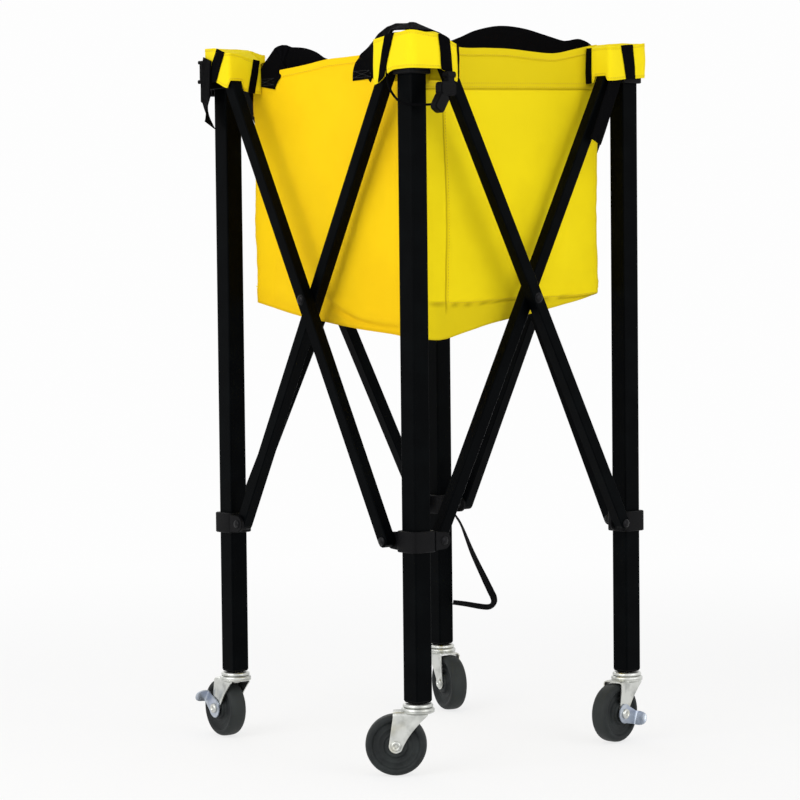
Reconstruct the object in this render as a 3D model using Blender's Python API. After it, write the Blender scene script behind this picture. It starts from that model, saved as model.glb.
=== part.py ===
# A folding ball basket on wheels.
#
# Four square legs stand on swivel casters. Each side of the cart has a crossed pair of square bars,
# riveted together at mid length. A bar's upper end pivots on the cap of one leg, and its lower end on
# a collar that slides up and down the next leg, so that all four legs draw together when it folds.
# A square fabric bag hangs by four sleeves from the leg caps.
#
# Metres, +Z up. The origin is on the floor, under the middle of the whole cart's outline.
# The corners are left, front, right and back, counterclockwise from above. In a corner's own frame
# the leg's axis is Z, +X points to the next leg and +Y to the last one, so both sides of the cart
# that meet there have their outsides towards -Y and -X.

import math

import bmesh
import bpy
from mathutils import Matrix, Vector

# Clearance between pieces that touch, and between the crossing bars
GAP = 0.0003
BAR_GAP = 0.0005

# Legs
LEG_SPACING = 0.362
LEG_SIDE = 0.0254
LEG_WALL = 0.0015
LEG_ROUND = 0.002
LEG_TOP_Z = 0.8955
FRAME_SHIFT = (0.0092, -0.0050)

# Scissor bars and their pivots
BAR_SIDE = 0.016
BAR_WALL = 0.0012
BAR_EDGE = 0.0012
BAR_PLUG = 0.025
PIVOT_REACH = 0.030
TOP_PIVOT_Z = 0.868
COLLAR_PIVOT_Z = 0.285
INNER_BAR_OUT = 0.005

# Leg caps and sliding collars
EAR_THICKNESS = 0.0047
EAR_ROUND = 0.0105
SLEEVE_ROUND = 0.003
CAP_SKIRT = 0.020
CAP_CROWN = 0.0032
COLLAR_HEIGHT = 0.026
COLLAR_PLAY = 0.0004
SLEEVE_CHAMFER = 0.001

# Rivets
RIVET_RADIUS = 0.003
RIVET_HEAD_RADIUS = 0.0055
RIVET_HEAD_HEIGHT = 0.0022
RIVET_SIDES = 8

# Casters
WHEEL_RADIUS = 0.0375
WHEEL_WIDTH = 0.023
WHEEL_HUB_WIDTH = 0.0255
WHEEL_HUB_RADIUS = 0.0135
WHEEL_SIDES = 24
CASTER_TRAIL = 0.027
AXLE_RADIUS = 0.004
AXLE_HEAD_RADIUS = 0.0065
AXLE_HEAD_HEIGHT = 0.0032
FORK_SHEET = 0.0022
FORK_LUG_RADIUS = 0.0087
FORK_PLATE_GAP = 0.0015
FORK_BACK_REACH = 0.0035
FORK_FRONT_REACH = 0.012
RACE_RADIUS = 0.0205
RACE_HEIGHT = 0.0067
WASHER_RADIUS = 0.0165
WASHER_HEIGHT = 0.0044
KINGPIN_RADIUS = 0.004
KINGPIN_HEAD_RADIUS = 0.0065
KINGPIN_HEAD_HEIGHT = 0.003
STEM_RADIUS = 0.0053
STEM_HEIGHT = 0.033
PLUG_HEIGHT = 0.030
PLUG_FLANGE = 0.0029
LEVER_SHEET = 0.002
LEVER_ROUND = 0.0125
LEVER_REACH = 0.026
LEVER_WIDTH = 0.018
PEDAL_DEPTH = 0.017
CASTER_HEADING = {"left": 173.0, "front": 228.0, "right": 278.0, "back": 343.0}
LEVER_ANGLE = {"left": 36.0, "right": 199.0}

# Bag
BAG_INSET = 0.021
BAG_WALL = 0.003
BAG_ROUND = 0.012
RIM_DROP = {"left": 0.0305, "front": 0.0095, "right": 0.0005, "back": 0.0115}
BAG_DEPTH = {"left": 0.302, "front": 0.366, "right": 0.318, "back": 0.305}
BAG_FLOOR_Z = 0.591
BAG_FLOOR = 0.003

# Corner sleeves of the bag, which pass round the leg caps
SLEEVE_CLOTH = 0.0016
SLEEVE_END = 0.046
SLEEVE_OVER_LEG = 0.006
SLEEVE_HEIGHT = 0.044
SLEEVE_SAG = {"left": 0.0125, "front": 0.006, "right": 0.002, "back": 0.005}

# Webbing
WEBBING_WIDTH = 0.038
WEBBING = 0.002
PATCH_DROP = 0.0535

# Each handle's two patches, as shares of the leg spacing, and the heights of its slack stretch over
# the rim, in webbing widths. The left one sinks into the bag and the right one stands over the rim.
HANDLE_PATCH_SHARES = (0.13, 0.67)
HANDLE_SLACK_SHARES = (0.24, 0.33, 0.44, 0.56, 0.68, 0.78)
HANDLE_CREST_RATIOS = {"left": (0.26, 0.09, -0.24, -0.51, -0.62, -0.50),
                       "right": (0.22, 0.36, 0.50, 0.58, 0.52, 0.34)}

# Straps, cord and their fittings
CORD_RADIUS = 0.0015
BUCKLE_SIZE = (0.014, 0.020, 0.044)
BUCKLE_AT = (0.002, 0.862)
TOGGLE_SIZE = (0.016, 0.012, 0.036)
TOGGLE_Z = 0.8435
TIE_WIDTH = 0.020
TIE_THICKNESS = 0.0015
TIE_LOW_Z = 0.143
TIE_REACH = 0.075
TIE_HEADING = 48.0
STRAP_END_DROP = 0.060
STRAP_END_LEAN = 0.016
STRAP_END_WIDTH = 0.020

CORNERS = ("left", "front", "right", "back")

# What follows from the sizes above
BAR_HALF = BAR_SIDE / 2
OUTER_BAR_OUT = INNER_BAR_OUT + BAR_SIDE + BAR_GAP
INNER_EAR = (INNER_BAR_OUT + BAR_HALF + GAP, INNER_BAR_OUT + BAR_HALF + GAP + EAR_THICKNESS)
OUTER_EAR = (OUTER_BAR_OUT - BAR_HALF - GAP - EAR_THICKNESS, OUTER_BAR_OUT - BAR_HALF - GAP)
SLEEVE_HALF = max(INNER_EAR[1], LEG_SIDE / 2 + COLLAR_PLAY + 0.003)
BAR_RUN = LEG_SPACING - 2 * PIVOT_REACH
BAR_DROP = TOP_PIVOT_Z - COLLAR_PIVOT_Z
BAR_LENGTH = math.hypot(BAR_RUN, BAR_DROP)
CROSSING_Z = (TOP_PIVOT_Z + COLLAR_PIVOT_Z) / 2
FORK_INNER = WHEEL_HUB_WIDTH / 2 + GAP
FORK_OUTER = FORK_INNER + FORK_SHEET
PLATE_LOW_Z = 2 * WHEEL_RADIUS + FORK_PLATE_GAP
PLATE_TOP_Z = PLATE_LOW_Z + FORK_SHEET
RACE_TOP_Z = PLATE_LOW_Z + RACE_HEIGHT
WASHER_TOP_Z = RACE_TOP_Z + GAP + WASHER_HEIGHT
LEG_FOOT_Z = WASHER_TOP_Z + PLUG_FLANGE + 2 * GAP
CAP_TOP_Z = LEG_TOP_Z + GAP + CAP_CROWN
BAG_HALF = LEG_SPACING / 2 - BAG_INSET
SLEEVE_TOP_Z = LEG_TOP_Z + SLEEVE_OVER_LEG
SLEEVE_LOW_Z = SLEEVE_TOP_Z - SLEEVE_HEIGHT
BAG_TOP_Z = {name: SLEEVE_TOP_Z - drop for name, drop in RIM_DROP.items()}
BAG_HEM_Z = {name: BAG_TOP_Z[name] - depth for name, depth in BAG_DEPTH.items()}
PATCH_LOW_Z = SLEEVE_TOP_Z - PATCH_DROP
SLEEVE_INNER_OUT = SLEEVE_HALF + RIVET_HEAD_HEIGHT + GAP + SLEEVE_CLOTH / 2
SLEEVE_OUTER_OUT = OUTER_BAR_OUT + BAR_HALF + RIVET_HEAD_HEIGHT + 2 * GAP + SLEEVE_CLOTH / 2
TOGGLE_AT = (0.026, -(SLEEVE_OUTER_OUT + SLEEVE_CLOTH / 2 + GAP + TOGGLE_SIZE[1] / 2))


def clear_scene():
    for thing in list(bpy.data.objects):
        bpy.data.objects.remove(thing, do_unlink=True)


def material(name, colour, roughness, metallic=0.0):
    made = bpy.data.materials.new(name)
    made.use_nodes = True
    shader = made.node_tree.nodes["Principled BSDF"]
    shader.inputs["Base Color"].default_value = (*colour, 1.0)
    shader.inputs["Roughness"].default_value = roughness
    shader.inputs["Metallic"].default_value = metallic
    return made


def as_mesh(bm, name):
    bmesh.ops.recalc_face_normals(bm, faces=bm.faces)
    mesh = bpy.data.meshes.new(name)
    bm.to_mesh(mesh)
    bm.free()
    return mesh


def arc(centre, radius, start, end, steps):
    """Points on an arc from one angle to another, in degrees."""
    angles = [math.radians(start + (end - start) * i / steps) for i in range(steps + 1)]
    return [(centre[0] + radius * math.cos(a), centre[1] + radius * math.sin(a)) for a in angles]


def rounded_square(side, radius, steps=2):
    reach = side / 2 - radius
    outline = []
    for turn, (x, y) in enumerate([(1, 1), (-1, 1), (-1, -1), (1, -1)]):
        outline += arc((x * reach, y * reach), radius, 90 * turn, 90 * turn + 90, steps)
    return outline


def prism(outline, low, high, chamfer=0.0):
    """An outline in X and Y drawn out along Z, with both rims chamfered if asked."""
    bm = bmesh.new()
    face = bm.faces.new([bm.verts.new((x, y, low)) for x, y in outline])
    grown = bmesh.ops.extrude_face_region(bm, geom=[face])["geom"]
    moved = [g for g in grown if isinstance(g, bmesh.types.BMVert)]
    bmesh.ops.translate(bm, verts=moved, vec=(0, 0, high - low))
    if chamfer:
        rims = [e for e in bm.edges if abs(e.verts[0].co.z - e.verts[1].co.z) < chamfer / 10]
        bmesh.ops.bevel(bm, geom=rims, offset=chamfer, segments=1, affect="EDGES")
    return as_mesh(bm, "prism")


def turned(profile, sides):
    """A solid turned about Z from a closed profile of (radius, height), or one that ends on the axis."""
    bm = bmesh.new()
    verts = [bm.verts.new((radius, 0, height)) for radius, height in profile]
    pairs = list(zip(verts, verts[1:]))
    if profile[0][0] > 0 and profile[-1][0] > 0:
        pairs.append((verts[-1], verts[0]))
    edges = [bm.edges.new(pair) for pair in pairs]
    bmesh.ops.spin(bm, geom=verts + edges, cent=(0, 0, 0), axis=(0, 0, 1), dvec=(0, 0, 0),
                   angle=math.tau, steps=sides, use_merge=True, use_duplicate=False)
    bmesh.ops.remove_doubles(bm, verts=bm.verts, dist=1e-6)
    return as_mesh(bm, "turned")


def box(size, centre=(0, 0, 0), chamfer=0.0):
    bm = bmesh.new()
    bmesh.ops.create_cube(bm, size=1.0, matrix=Matrix.Translation(centre) @ Matrix.Diagonal((*size, 1)))
    if chamfer:
        bmesh.ops.bevel(bm, geom=list(bm.edges), offset=chamfer, segments=1, affect="EDGES")
    return as_mesh(bm, "box")


def combined(mesh, *changes):
    """The mesh after each change in turn: (operation, other mesh) or (operation, other mesh, its place)."""
    collection = bpy.context.scene.collection
    body = bpy.data.objects.new("body", mesh)
    collection.objects.link(body)
    helpers = []
    for operation, other, *place in changes:
        helper = bpy.data.objects.new("helper", other)
        helper.matrix_world = place[0] if place else Matrix()
        collection.objects.link(helper)
        helpers.append(helper)
        change = body.modifiers.new(operation.lower(), "BOOLEAN")
        change.operation = operation
        change.object = helper
    bpy.context.view_layer.update()
    graph = bpy.context.evaluated_depsgraph_get()
    result = bpy.data.meshes.new_from_object(body.evaluated_get(graph))
    for thing in [body, *helpers]:
        bpy.data.objects.remove(thing, do_unlink=True)
    return result


def ribbon(stations):
    """A closed band through stations, each a ring of four corners in the same order."""
    bm = bmesh.new()
    rings = [[bm.verts.new(p) for p in ring] for ring in stations]
    for near, far in zip(rings, rings[1:]):
        for k in range(4):
            bm.faces.new([near[k], near[(k + 1) % 4], far[(k + 1) % 4], far[k]])
    bm.faces.new(rings[0])
    bm.faces.new(rings[-1])
    return as_mesh(bm, "ribbon")


def strap(route, width, thickness, steps=1):
    """A flat strap along a smooth curve. The route is a list of (point, direction across the strap)."""
    points = [Vector(p) for p, _ in route]
    across = [Vector(w).normalized() for _, w in route]
    middles, widths = [], []
    for i in range(len(points) - 1):
        for k in range(steps):
            middles.append(smooth(points, i, k / steps))
            widths.append(smooth(across, i, k / steps).normalized())
    middles.append(points[-1])
    widths.append(across[-1])
    stations = []
    for i, (middle, wide) in enumerate(zip(middles, widths)):
        along = (middles[min(i + 1, len(middles) - 1)] - middles[max(i - 1, 0)]).normalized()
        wide = wide * width / 2
        thick = along.cross(wide).normalized() * thickness / 2
        stations.append([middle - wide - thick, middle + wide - thick,
                         middle + wide + thick, middle - wide + thick])
    return ribbon(stations)


def smooth(values, i, t):
    """A point of the Catmull-Rom curve through the values, in the stretch after value i."""
    a, b = values[max(i - 1, 0)], values[i]
    c, d = values[i + 1], values[min(i + 2, len(values) - 1)]
    return 0.5 * (2 * b + (c - a) * t + (2 * a - 5 * b + 4 * c - d) * t**2
                  + (3 * b - a - 3 * c + d) * t**3)


def corner_frame(name):
    turn = Matrix.Rotation(math.radians(90 * CORNERS.index(name)), 4, "Z")
    out = Matrix.Translation((-LEG_SPACING / 2, -LEG_SPACING / 2, 0))
    return Matrix.Translation((*FRAME_SHIFT, 0)) @ turn @ out


def next_corner(name):
    return CORNERS[(CORNERS.index(name) + 1) % 4]


def axes(x, z, at):
    """A frame at a point whose X and Z axes are given."""
    x, z = Vector(x).normalized(), Vector(z).normalized()
    y = z.cross(x)
    turned_axes = Matrix((x, y, z)).transposed().to_4x4()
    return Matrix.Translation(at) @ turned_axes


def pivot(name, frame, parent=None):
    """An empty on a joint's axis, which carries one moving body."""
    empty = bpy.data.objects.new(name, None)
    bpy.context.scene.collection.objects.link(empty)
    attach(empty, parent, frame)
    return empty


def attach(thing, parent, frame):
    if parent:
        thing.parent = parent
        thing.matrix_parent_inverse = parent.matrix_world.inverted()
    thing.matrix_basis = frame
    bpy.context.view_layer.update()


def piece(name, mesh, frame, body, finish, smooth_angle=30):
    """One named piece of the cart, with its own origin, carried by a body."""
    thing = bpy.data.objects.new(name, mesh)
    bpy.context.scene.collection.objects.link(thing)
    if not mesh.materials:
        mesh.materials.append(finish)
        mesh.shade_smooth()
        mesh.set_sharp_from_angle(angle=math.radians(smooth_angle))
    attach(thing, body, frame)
    return thing


def hole(radius, low, high, sides=RIVET_SIDES):
    """A cutter whose flats clear a shaft of the given radius."""
    wide = (radius + GAP) / math.cos(math.pi / sides)
    return prism(arc((0, 0), wide, 0, 360 * (1 - 1 / sides), sides - 1), low, high)


def leg_mesh():
    outside = prism(rounded_square(LEG_SIDE, LEG_ROUND), LEG_FOOT_Z, LEG_TOP_Z)
    inside = LEG_SIDE - 2 * LEG_WALL
    bore = prism(rounded_square(inside, LEG_ROUND / 2, 1), LEG_FOOT_Z - 1, LEG_TOP_Z + 1)
    return combined(outside, ("DIFFERENCE", bore))


def ear_mesh(low, high, root_height):
    """A lug that reaches from the sleeve past the pivot, drawn in X and Y and drawn out along Z."""
    root = SLEEVE_HALF - EAR_THICKNESS / 2
    outline = [(root, -root_height / 2)] + arc((PIVOT_REACH, 0), EAR_ROUND, -80, 80, 6)
    outline.append((root, root_height / 2))
    return prism(outline, low, high)


def pin_span(ear, bar_out):
    """Where the rivet fixed in an ear begins and ends outwards, with play on the bar's far side only."""
    bar_low, bar_high = bar_out - BAR_HALF - GAP, bar_out + BAR_HALF + GAP
    return (ear[0], bar_high) if ear[0] < bar_out else (bar_low, ear[1])


def ears(next_ear, next_bar, last_ear, last_bar, root_height):
    """The two lugs of a cap or collar and the rivets fixed in them, with the pivots at height 0."""
    to_next = axes((1, 0, 0), (0, -1, 0), (0, 0, 0))
    to_last = axes((0, 1, 0), (1, 0, 0), (0, 0, 0))
    lug_next = ear_mesh(*next_ear, root_height)
    lug_last = ear_mesh(-last_ear[1], -last_ear[0], root_height)
    low, high = pin_span(last_ear, last_bar)
    pin_next = rivet_mesh(*pin_span(next_ear, next_bar))
    pin_last = rivet_mesh(-high, -low)
    at_pivot = Matrix.Translation((PIVOT_REACH, 0, 0))
    return [("UNION", lug_next, to_next), ("UNION", lug_last, to_last),
            ("UNION", pin_next, to_next @ at_pivot), ("UNION", pin_last, to_last @ at_pivot)]


def cap_mesh():
    """The moulded cap on a leg's top, with an ear for an outer bar and one for an inner bar."""
    skirt = -CAP_SKIRT
    crown = CAP_TOP_Z - TOP_PIVOT_Z
    sleeve = prism(rounded_square(2 * SLEEVE_HALF, SLEEVE_ROUND), skirt, crown, SLEEVE_CHAMFER)
    bore = prism(rounded_square(LEG_SIDE + 2 * GAP, LEG_ROUND), skirt - 1, crown - CAP_CROWN)
    lugs = ears(OUTER_EAR, OUTER_BAR_OUT, INNER_EAR, INNER_BAR_OUT, 2 * EAR_ROUND + 0.006)
    return combined(sleeve, *lugs[:2], ("DIFFERENCE", bore), *lugs[2:])


def collar_mesh():
    """The collar that slides on a leg, with an ear for an inner bar and one for an outer bar."""
    half = COLLAR_HEIGHT / 2
    sleeve = prism(rounded_square(2 * SLEEVE_HALF, SLEEVE_ROUND), -half, half, SLEEVE_CHAMFER)
    bore = prism(rounded_square(LEG_SIDE + 2 * COLLAR_PLAY, LEG_ROUND), -1, 1)
    lugs = ears(INNER_EAR, INNER_BAR_OUT, OUTER_EAR, OUTER_BAR_OUT, COLLAR_HEIGHT - 3 * SLEEVE_CHAMFER)
    return combined(sleeve, *lugs[:2], ("DIFFERENCE", bore), *lugs[2:])


def bar_mesh(origin_at):
    """A square tube with round solid ends and three rivet holes. It lies along X, its thickness along
    Z, and its origin is this far along it from the upper pivot."""
    ends = arc((BAR_LENGTH, 0), BAR_HALF, -90, 90, 6) + arc((0, 0), BAR_HALF, 90, 270, 6)
    solid = prism(ends, -BAR_HALF, BAR_HALF, BAR_EDGE)
    inside = BAR_SIDE - 2 * BAR_WALL
    middle = (BAR_LENGTH / 2, 0, 0)
    bore = box((BAR_LENGTH - 2 * BAR_PLUG, inside, inside), middle)
    cutter = hole(RIVET_RADIUS, -BAR_SIDE, BAR_SIDE)
    holes = [("DIFFERENCE", cutter, Matrix.Translation((BAR_LENGTH * k / 2, 0, 0))) for k in range(3)]
    mesh = combined(solid, ("DIFFERENCE", bore), *holes)
    mesh.transform(Matrix.Translation((-origin_at, 0, 0)))
    return mesh


def rivet_mesh(low, high):
    """A rivet whose two domed heads begin at two heights on its axis."""
    head, tall = RIVET_HEAD_RADIUS, RIVET_HEAD_HEIGHT
    return turned([(0, high + tall), (0.6 * head, high + 0.75 * tall), (head, high), (RIVET_RADIUS, high),
                   (RIVET_RADIUS, low), (head, low), (0.6 * head, low - 0.75 * tall), (0, low - tall)],
                  RIVET_SIDES)


def wheel_mesh():
    """A one-piece rubber wheel, turned about Z, with dished sides and a hub."""
    tread = WHEEL_RADIUS / math.cos(math.pi / WHEEL_SIDES)
    half, hub = WHEEL_WIDTH / 2, WHEEL_HUB_WIDTH / 2
    bore = (AXLE_RADIUS + GAP) / math.cos(math.pi / WHEEL_SIDES)
    dish = half - 0.0035
    one_side = [(tread, 0.45 * half), (tread - 0.002, 0.85 * half), (tread - 0.006, half),
                (tread - 0.012, dish), (WHEEL_HUB_RADIUS + 0.001, dish),
                (WHEEL_HUB_RADIUS - 0.001, hub), (bore, hub)]
    other_side = [(radius, -height) for radius, height in reversed(one_side)]
    return turned(one_side + other_side, WHEEL_SIDES)


def fork_mesh(braked):
    """A pressed fork with its ball race and axle. X trails from the swivel axis, Z is up from the floor."""
    outer = box((0.2, 2 * FORK_OUTER, PLATE_TOP_Z), (0, 0, PLATE_TOP_Z / 2))
    inner = box((0.3, 2 * FORK_INNER, 2 * PLATE_LOW_Z), (0, 0, 0))
    lug = arc((CASTER_TRAIL, WHEEL_RADIUS), FORK_LUG_RADIUS, 5, -145, 6)
    back = CASTER_TRAIL + FORK_BACK_REACH
    side = [(-FORK_FRONT_REACH, PLATE_TOP_Z + 1), (-FORK_FRONT_REACH, PLATE_LOW_Z - FORK_SHEET)]
    side += list(reversed(lug)) + [(back, PLATE_LOW_Z), (back, PLATE_TOP_Z + 1)]
    side_view = prism(side, -0.1, 0.1)
    race = turned([(0, RACE_TOP_Z), (RACE_RADIUS - 0.0015, RACE_TOP_Z), (RACE_RADIUS, RACE_TOP_Z - 0.0013),
                   (RACE_RADIUS, PLATE_TOP_Z), (RACE_RADIUS - 0.002, PLATE_LOW_Z), (0, PLATE_LOW_Z)], 16)
    pin = hole(KINGPIN_RADIUS, 0, 0.2, 12)
    side_on = axes((1, 0, 0), (0, -1, 0), (0, 0, 0))
    at_axle = axes((1, 0, 0), (0, 1, 0), (CASTER_TRAIL, 0, WHEEL_RADIUS))
    return combined(outer, ("DIFFERENCE", inner), ("INTERSECT", side_view, side_on), ("UNION", race),
                    ("DIFFERENCE", pin), ("UNION", axle_mesh(braked), at_axle))


def axle_mesh(braked):
    """The bolt fixed in a fork, along Z. A braked caster's bolt also carries the lever."""
    near = FORK_OUTER
    far = FORK_OUTER + (LEVER_SHEET + 2 * GAP if braked else 0)
    head, tall = AXLE_HEAD_RADIUS, AXLE_HEAD_HEIGHT
    return turned([(0, far + tall), (0.7 * head, far + 0.85 * tall), (head, far), (AXLE_RADIUS, far),
                   (AXLE_RADIUS, -near), (head, -near), (head, -near - tall), (0, -near - tall)], 8)


def stem_mesh():
    """The caster's stem: pin through the fork, washer, and stem in the leg's plug. Z is from the floor."""
    head_top = PLATE_LOW_Z - GAP
    washer_low = RACE_TOP_Z + GAP
    return turned([(0, LEG_FOOT_Z + STEM_HEIGHT), (STEM_RADIUS, LEG_FOOT_Z + STEM_HEIGHT - 0.001),
                   (STEM_RADIUS, WASHER_TOP_Z), (WASHER_RADIUS - 0.001, WASHER_TOP_Z),
                   (WASHER_RADIUS, WASHER_TOP_Z - 0.001), (WASHER_RADIUS, washer_low),
                   (KINGPIN_RADIUS, washer_low), (KINGPIN_RADIUS, head_top),
                   (KINGPIN_HEAD_RADIUS, head_top), (0.7 * KINGPIN_HEAD_RADIUS,
                   head_top - KINGPIN_HEAD_HEIGHT), (0, head_top - KINGPIN_HEAD_HEIGHT)], 12)


def plug_mesh():
    """The square plug in the leg's foot that holds the stem."""
    inside = LEG_SIDE - 2 * LEG_WALL - 2 * GAP
    flange = prism(rounded_square(LEG_SIDE, LEG_ROUND, 1), LEG_FOOT_Z - PLUG_FLANGE - GAP, LEG_FOOT_Z - GAP)
    core = prism(rounded_square(inside, LEG_ROUND / 2, 1), LEG_FOOT_Z - PLUG_FLANGE,
                 LEG_FOOT_Z + PLUG_HEIGHT)
    return combined(core, ("UNION", flange), ("DIFFERENCE", hole(STEM_RADIUS, 0, 1, 12)))


def lever_mesh():
    """A brake lever that turns on the axle: plate in X and Y, pedal along X, both sides out along Z."""
    low, high = FORK_OUTER + GAP, FORK_OUTER + GAP + LEVER_SHEET
    outline = arc((0, 0), LEVER_ROUND, 50, 310, 8)
    outline += [(LEVER_REACH, -LEVER_WIDTH / 2), (LEVER_REACH, LEVER_WIDTH / 2)]
    plate = prism(outline, low, high)
    pedal = box((LEVER_SHEET, LEVER_WIDTH, PEDAL_DEPTH),
                (LEVER_REACH - LEVER_SHEET / 2, 0, low + PEDAL_DEPTH / 2))
    return combined(plate, ("UNION", pedal), ("DIFFERENCE", hole(AXLE_RADIUS, -0.1, 0.1)))


def bag_half_mesh(corner, ahead, behind):
    """The two bag walls that meet at one corner, as one bent band with a sloping rim and hem. In the
    corner's own frame one wall runs along X up to the other half, and one along Y."""
    near, far = BAG_INSET, LEG_SPACING - BAG_INSET
    butt = far - BAG_WALL - GAP
    run = far - near
    turn = arc((near + BAG_ROUND, near + BAG_ROUND), 1, 270, 180, 4)
    path = [((butt, near), (0, 1), ahead, (butt - near) / run)]
    for x, y in turn:
        out = (x - near - BAG_ROUND, y - near - BAG_ROUND)
        at = (near + BAG_ROUND * (1 + out[0]), near + BAG_ROUND * (1 + out[1]))
        path.append((at, (-out[0], -out[1]), corner, 0.0))
    path.append(((near, far), (1, 0), behind, 1.0))
    stations = []
    for (x, y), inward, towards, share in path:
        low = BAG_HEM_Z[corner] + share * (BAG_HEM_Z[towards] - BAG_HEM_Z[corner])
        high = BAG_TOP_Z[corner] + share * (BAG_TOP_Z[towards] - BAG_TOP_Z[corner])
        inner = (x + BAG_WALL * inward[0], y + BAG_WALL * inward[1])
        stations.append([Vector((x, y, low)), Vector((x, y, high)),
                         Vector((*inner, high)), Vector((*inner, low))])
    return ribbon(stations)


def bag_floor_mesh():
    """Half of the bag's floor, hinged on its edge along X, with the other edge on the bag's middle."""
    half = BAG_HALF - BAG_WALL - GAP
    curve = BAG_ROUND - BAG_WALL - GAP
    corner = arc((curve - half, curve), curve, 180, 270, 4)
    return prism([*corner, (half, 0), (half, half - GAP / 2), (-half, half - GAP / 2)], 0, BAG_FLOOR)


def corner_sleeve_mesh(corner):
    """The bag's band round a leg cap and the bar ends, from one bag wall to the other. It rests on the
    heads of the cap's rivets, and where a handle is sewn on it ends on the handle's patch."""
    cloth = SLEEVE_CLOTH / 2
    outer, inner = SLEEVE_OUTER_OUT, SLEEVE_INNER_OUT
    wall = BAG_INSET - GAP
    patch = wall - WEBBING - GAP if corner in HANDLE_CREST_RATIOS else wall
    bend = 0.003
    reach = SLEEVE_END
    plan = [(reach, patch), (reach, -(outer - bend)), (reach - bend, -outer), (PIVOT_REACH / 2, -outer),
            (-inner + bend / 2, -inner), (-inner, -inner + bend / 2), (-inner, reach - bend),
            (-inner + bend, reach), (wall, reach)]
    lengths = [0.0]
    for a, b in zip(plan, plan[1:]):
        lengths.append(lengths[-1] + math.dist(a, b))
    stations = []
    for i, (x, y) in enumerate(plan):
        along = Vector((*plan[min(i + 1, len(plan) - 1)], 0)) - Vector((*plan[max(i - 1, 0)], 0))
        side = along.cross(Vector((0, 0, 1))).normalized() * cloth
        share = abs(lengths[i] / lengths[-1] - 0.5) * 2
        high = SLEEVE_TOP_Z - SLEEVE_SAG[corner] * share**2
        low = SLEEVE_LOW_Z
        at = Vector((x, y, 0))
        stations.append([at - side + Vector((0, 0, low)), at + side + Vector((0, 0, low)),
                         at + side + Vector((0, 0, high)), at - side + Vector((0, 0, high))])
    return ribbon(stations)


def rim_height(corner, x):
    """The height of the bag's rim on the side that follows a corner."""
    share = (x - BAG_INSET) / (LEG_SPACING - 2 * BAG_INSET)
    return BAG_TOP_Z[corner] + share * (BAG_TOP_Z[next_corner(corner)] - BAG_TOP_Z[corner])


def handle_mesh(corner):
    """A carrying handle of webbing, in its corner's own frame. It rises from a patch near the corner,
    turns over the rim and runs along the wall's inside on its edge. It then rises out of the bag, is
    hooked round over the cap of the next leg, and comes back to a second patch on the same wall."""
    w = WEBBING_WIDTH
    outside = BAG_INSET - WEBBING / 2 - GAP
    inside = BAG_INSET + BAG_WALL + WEBBING + 2 * GAP
    first, second = (share * LEG_SPACING for share in HANDLE_PATCH_SHARES)
    near, far = rim_height(corner, first), rim_height(corner, second)
    start = near + (0.30 + HANDLE_CREST_RATIOS[corner][0] / 2) * w
    route = [((first, outside, PATCH_LOW_Z), (1, 0, 0)),
             ((first, outside, near + 0.06 * w), (1, 0, 0)),
             ((first + 0.04 * w, outside + 0.07 * w, near + 0.26 * w), (1, 0.05, -0.1)),
             ((first + 0.42 * w, (outside + inside) / 2 + 0.04 * w, start + 0.20 * w), (0.8, 0.1, -0.7))]
    for k, (share, over) in enumerate(zip(HANDLE_SLACK_SHARES, HANDLE_CREST_RATIOS[corner])):
        x = share * LEG_SPACING
        at = (x, inside + (0.10 if k == 0 else 0.04) * w, rim_height(corner, x) + over * w)
        route.append((at, (0, 0.05, -1)))
    hook, top = LEG_SPACING, SLEEVE_TOP_Z + WEBBING / 2 + 2 * GAP
    out = top + 0.05 * w
    route += [((hook - 1.55 * w, inside + 0.45 * w, far + 0.02 * w), (0, 0.5, -0.8)),
              ((hook - 1.05 * w, inside + 0.72 * w, out - 0.06 * w), (0, 1, -0.3)),
              ((hook - 0.55 * w, inside + 0.80 * w, out), (0.3, 1, 0)),
              ((hook - 0.02 * w, inside + 0.45 * w, out), (0.9, 0.5, 0)),
              ((hook + 0.22 * w, 0.35 * w, out), (1, -0.1, 0)),
              ((hook + 0.10 * w, -0.16 * w, out), (0.6, -0.8, 0)),
              ((hook - 0.45 * w, -0.30 * w, out), (0, -1, 0)),
              ((hook - 1.30 * w, -0.15 * w, out), (0, -1, -0.12)),
              ((hook - 1.95 * w, 0, out - 0.16 * w), (0, -0.5, -0.85)),
              ((second + 0.95 * w, outside - 0.16 * w, far + 0.18 * w), (0.3, 0, -0.95)),
              ((second + 0.35 * w, outside - 0.10 * w, far - 0.12 * w), (0.8, 0, -0.6)),
              ((second + 0.04 * w, outside - 0.02 * w, far - 0.45 * w), (1, 0, -0.1)),
              ((second, outside, PATCH_LOW_Z), (1, 0, 0))]
    return strap(route, w, WEBBING)


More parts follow.
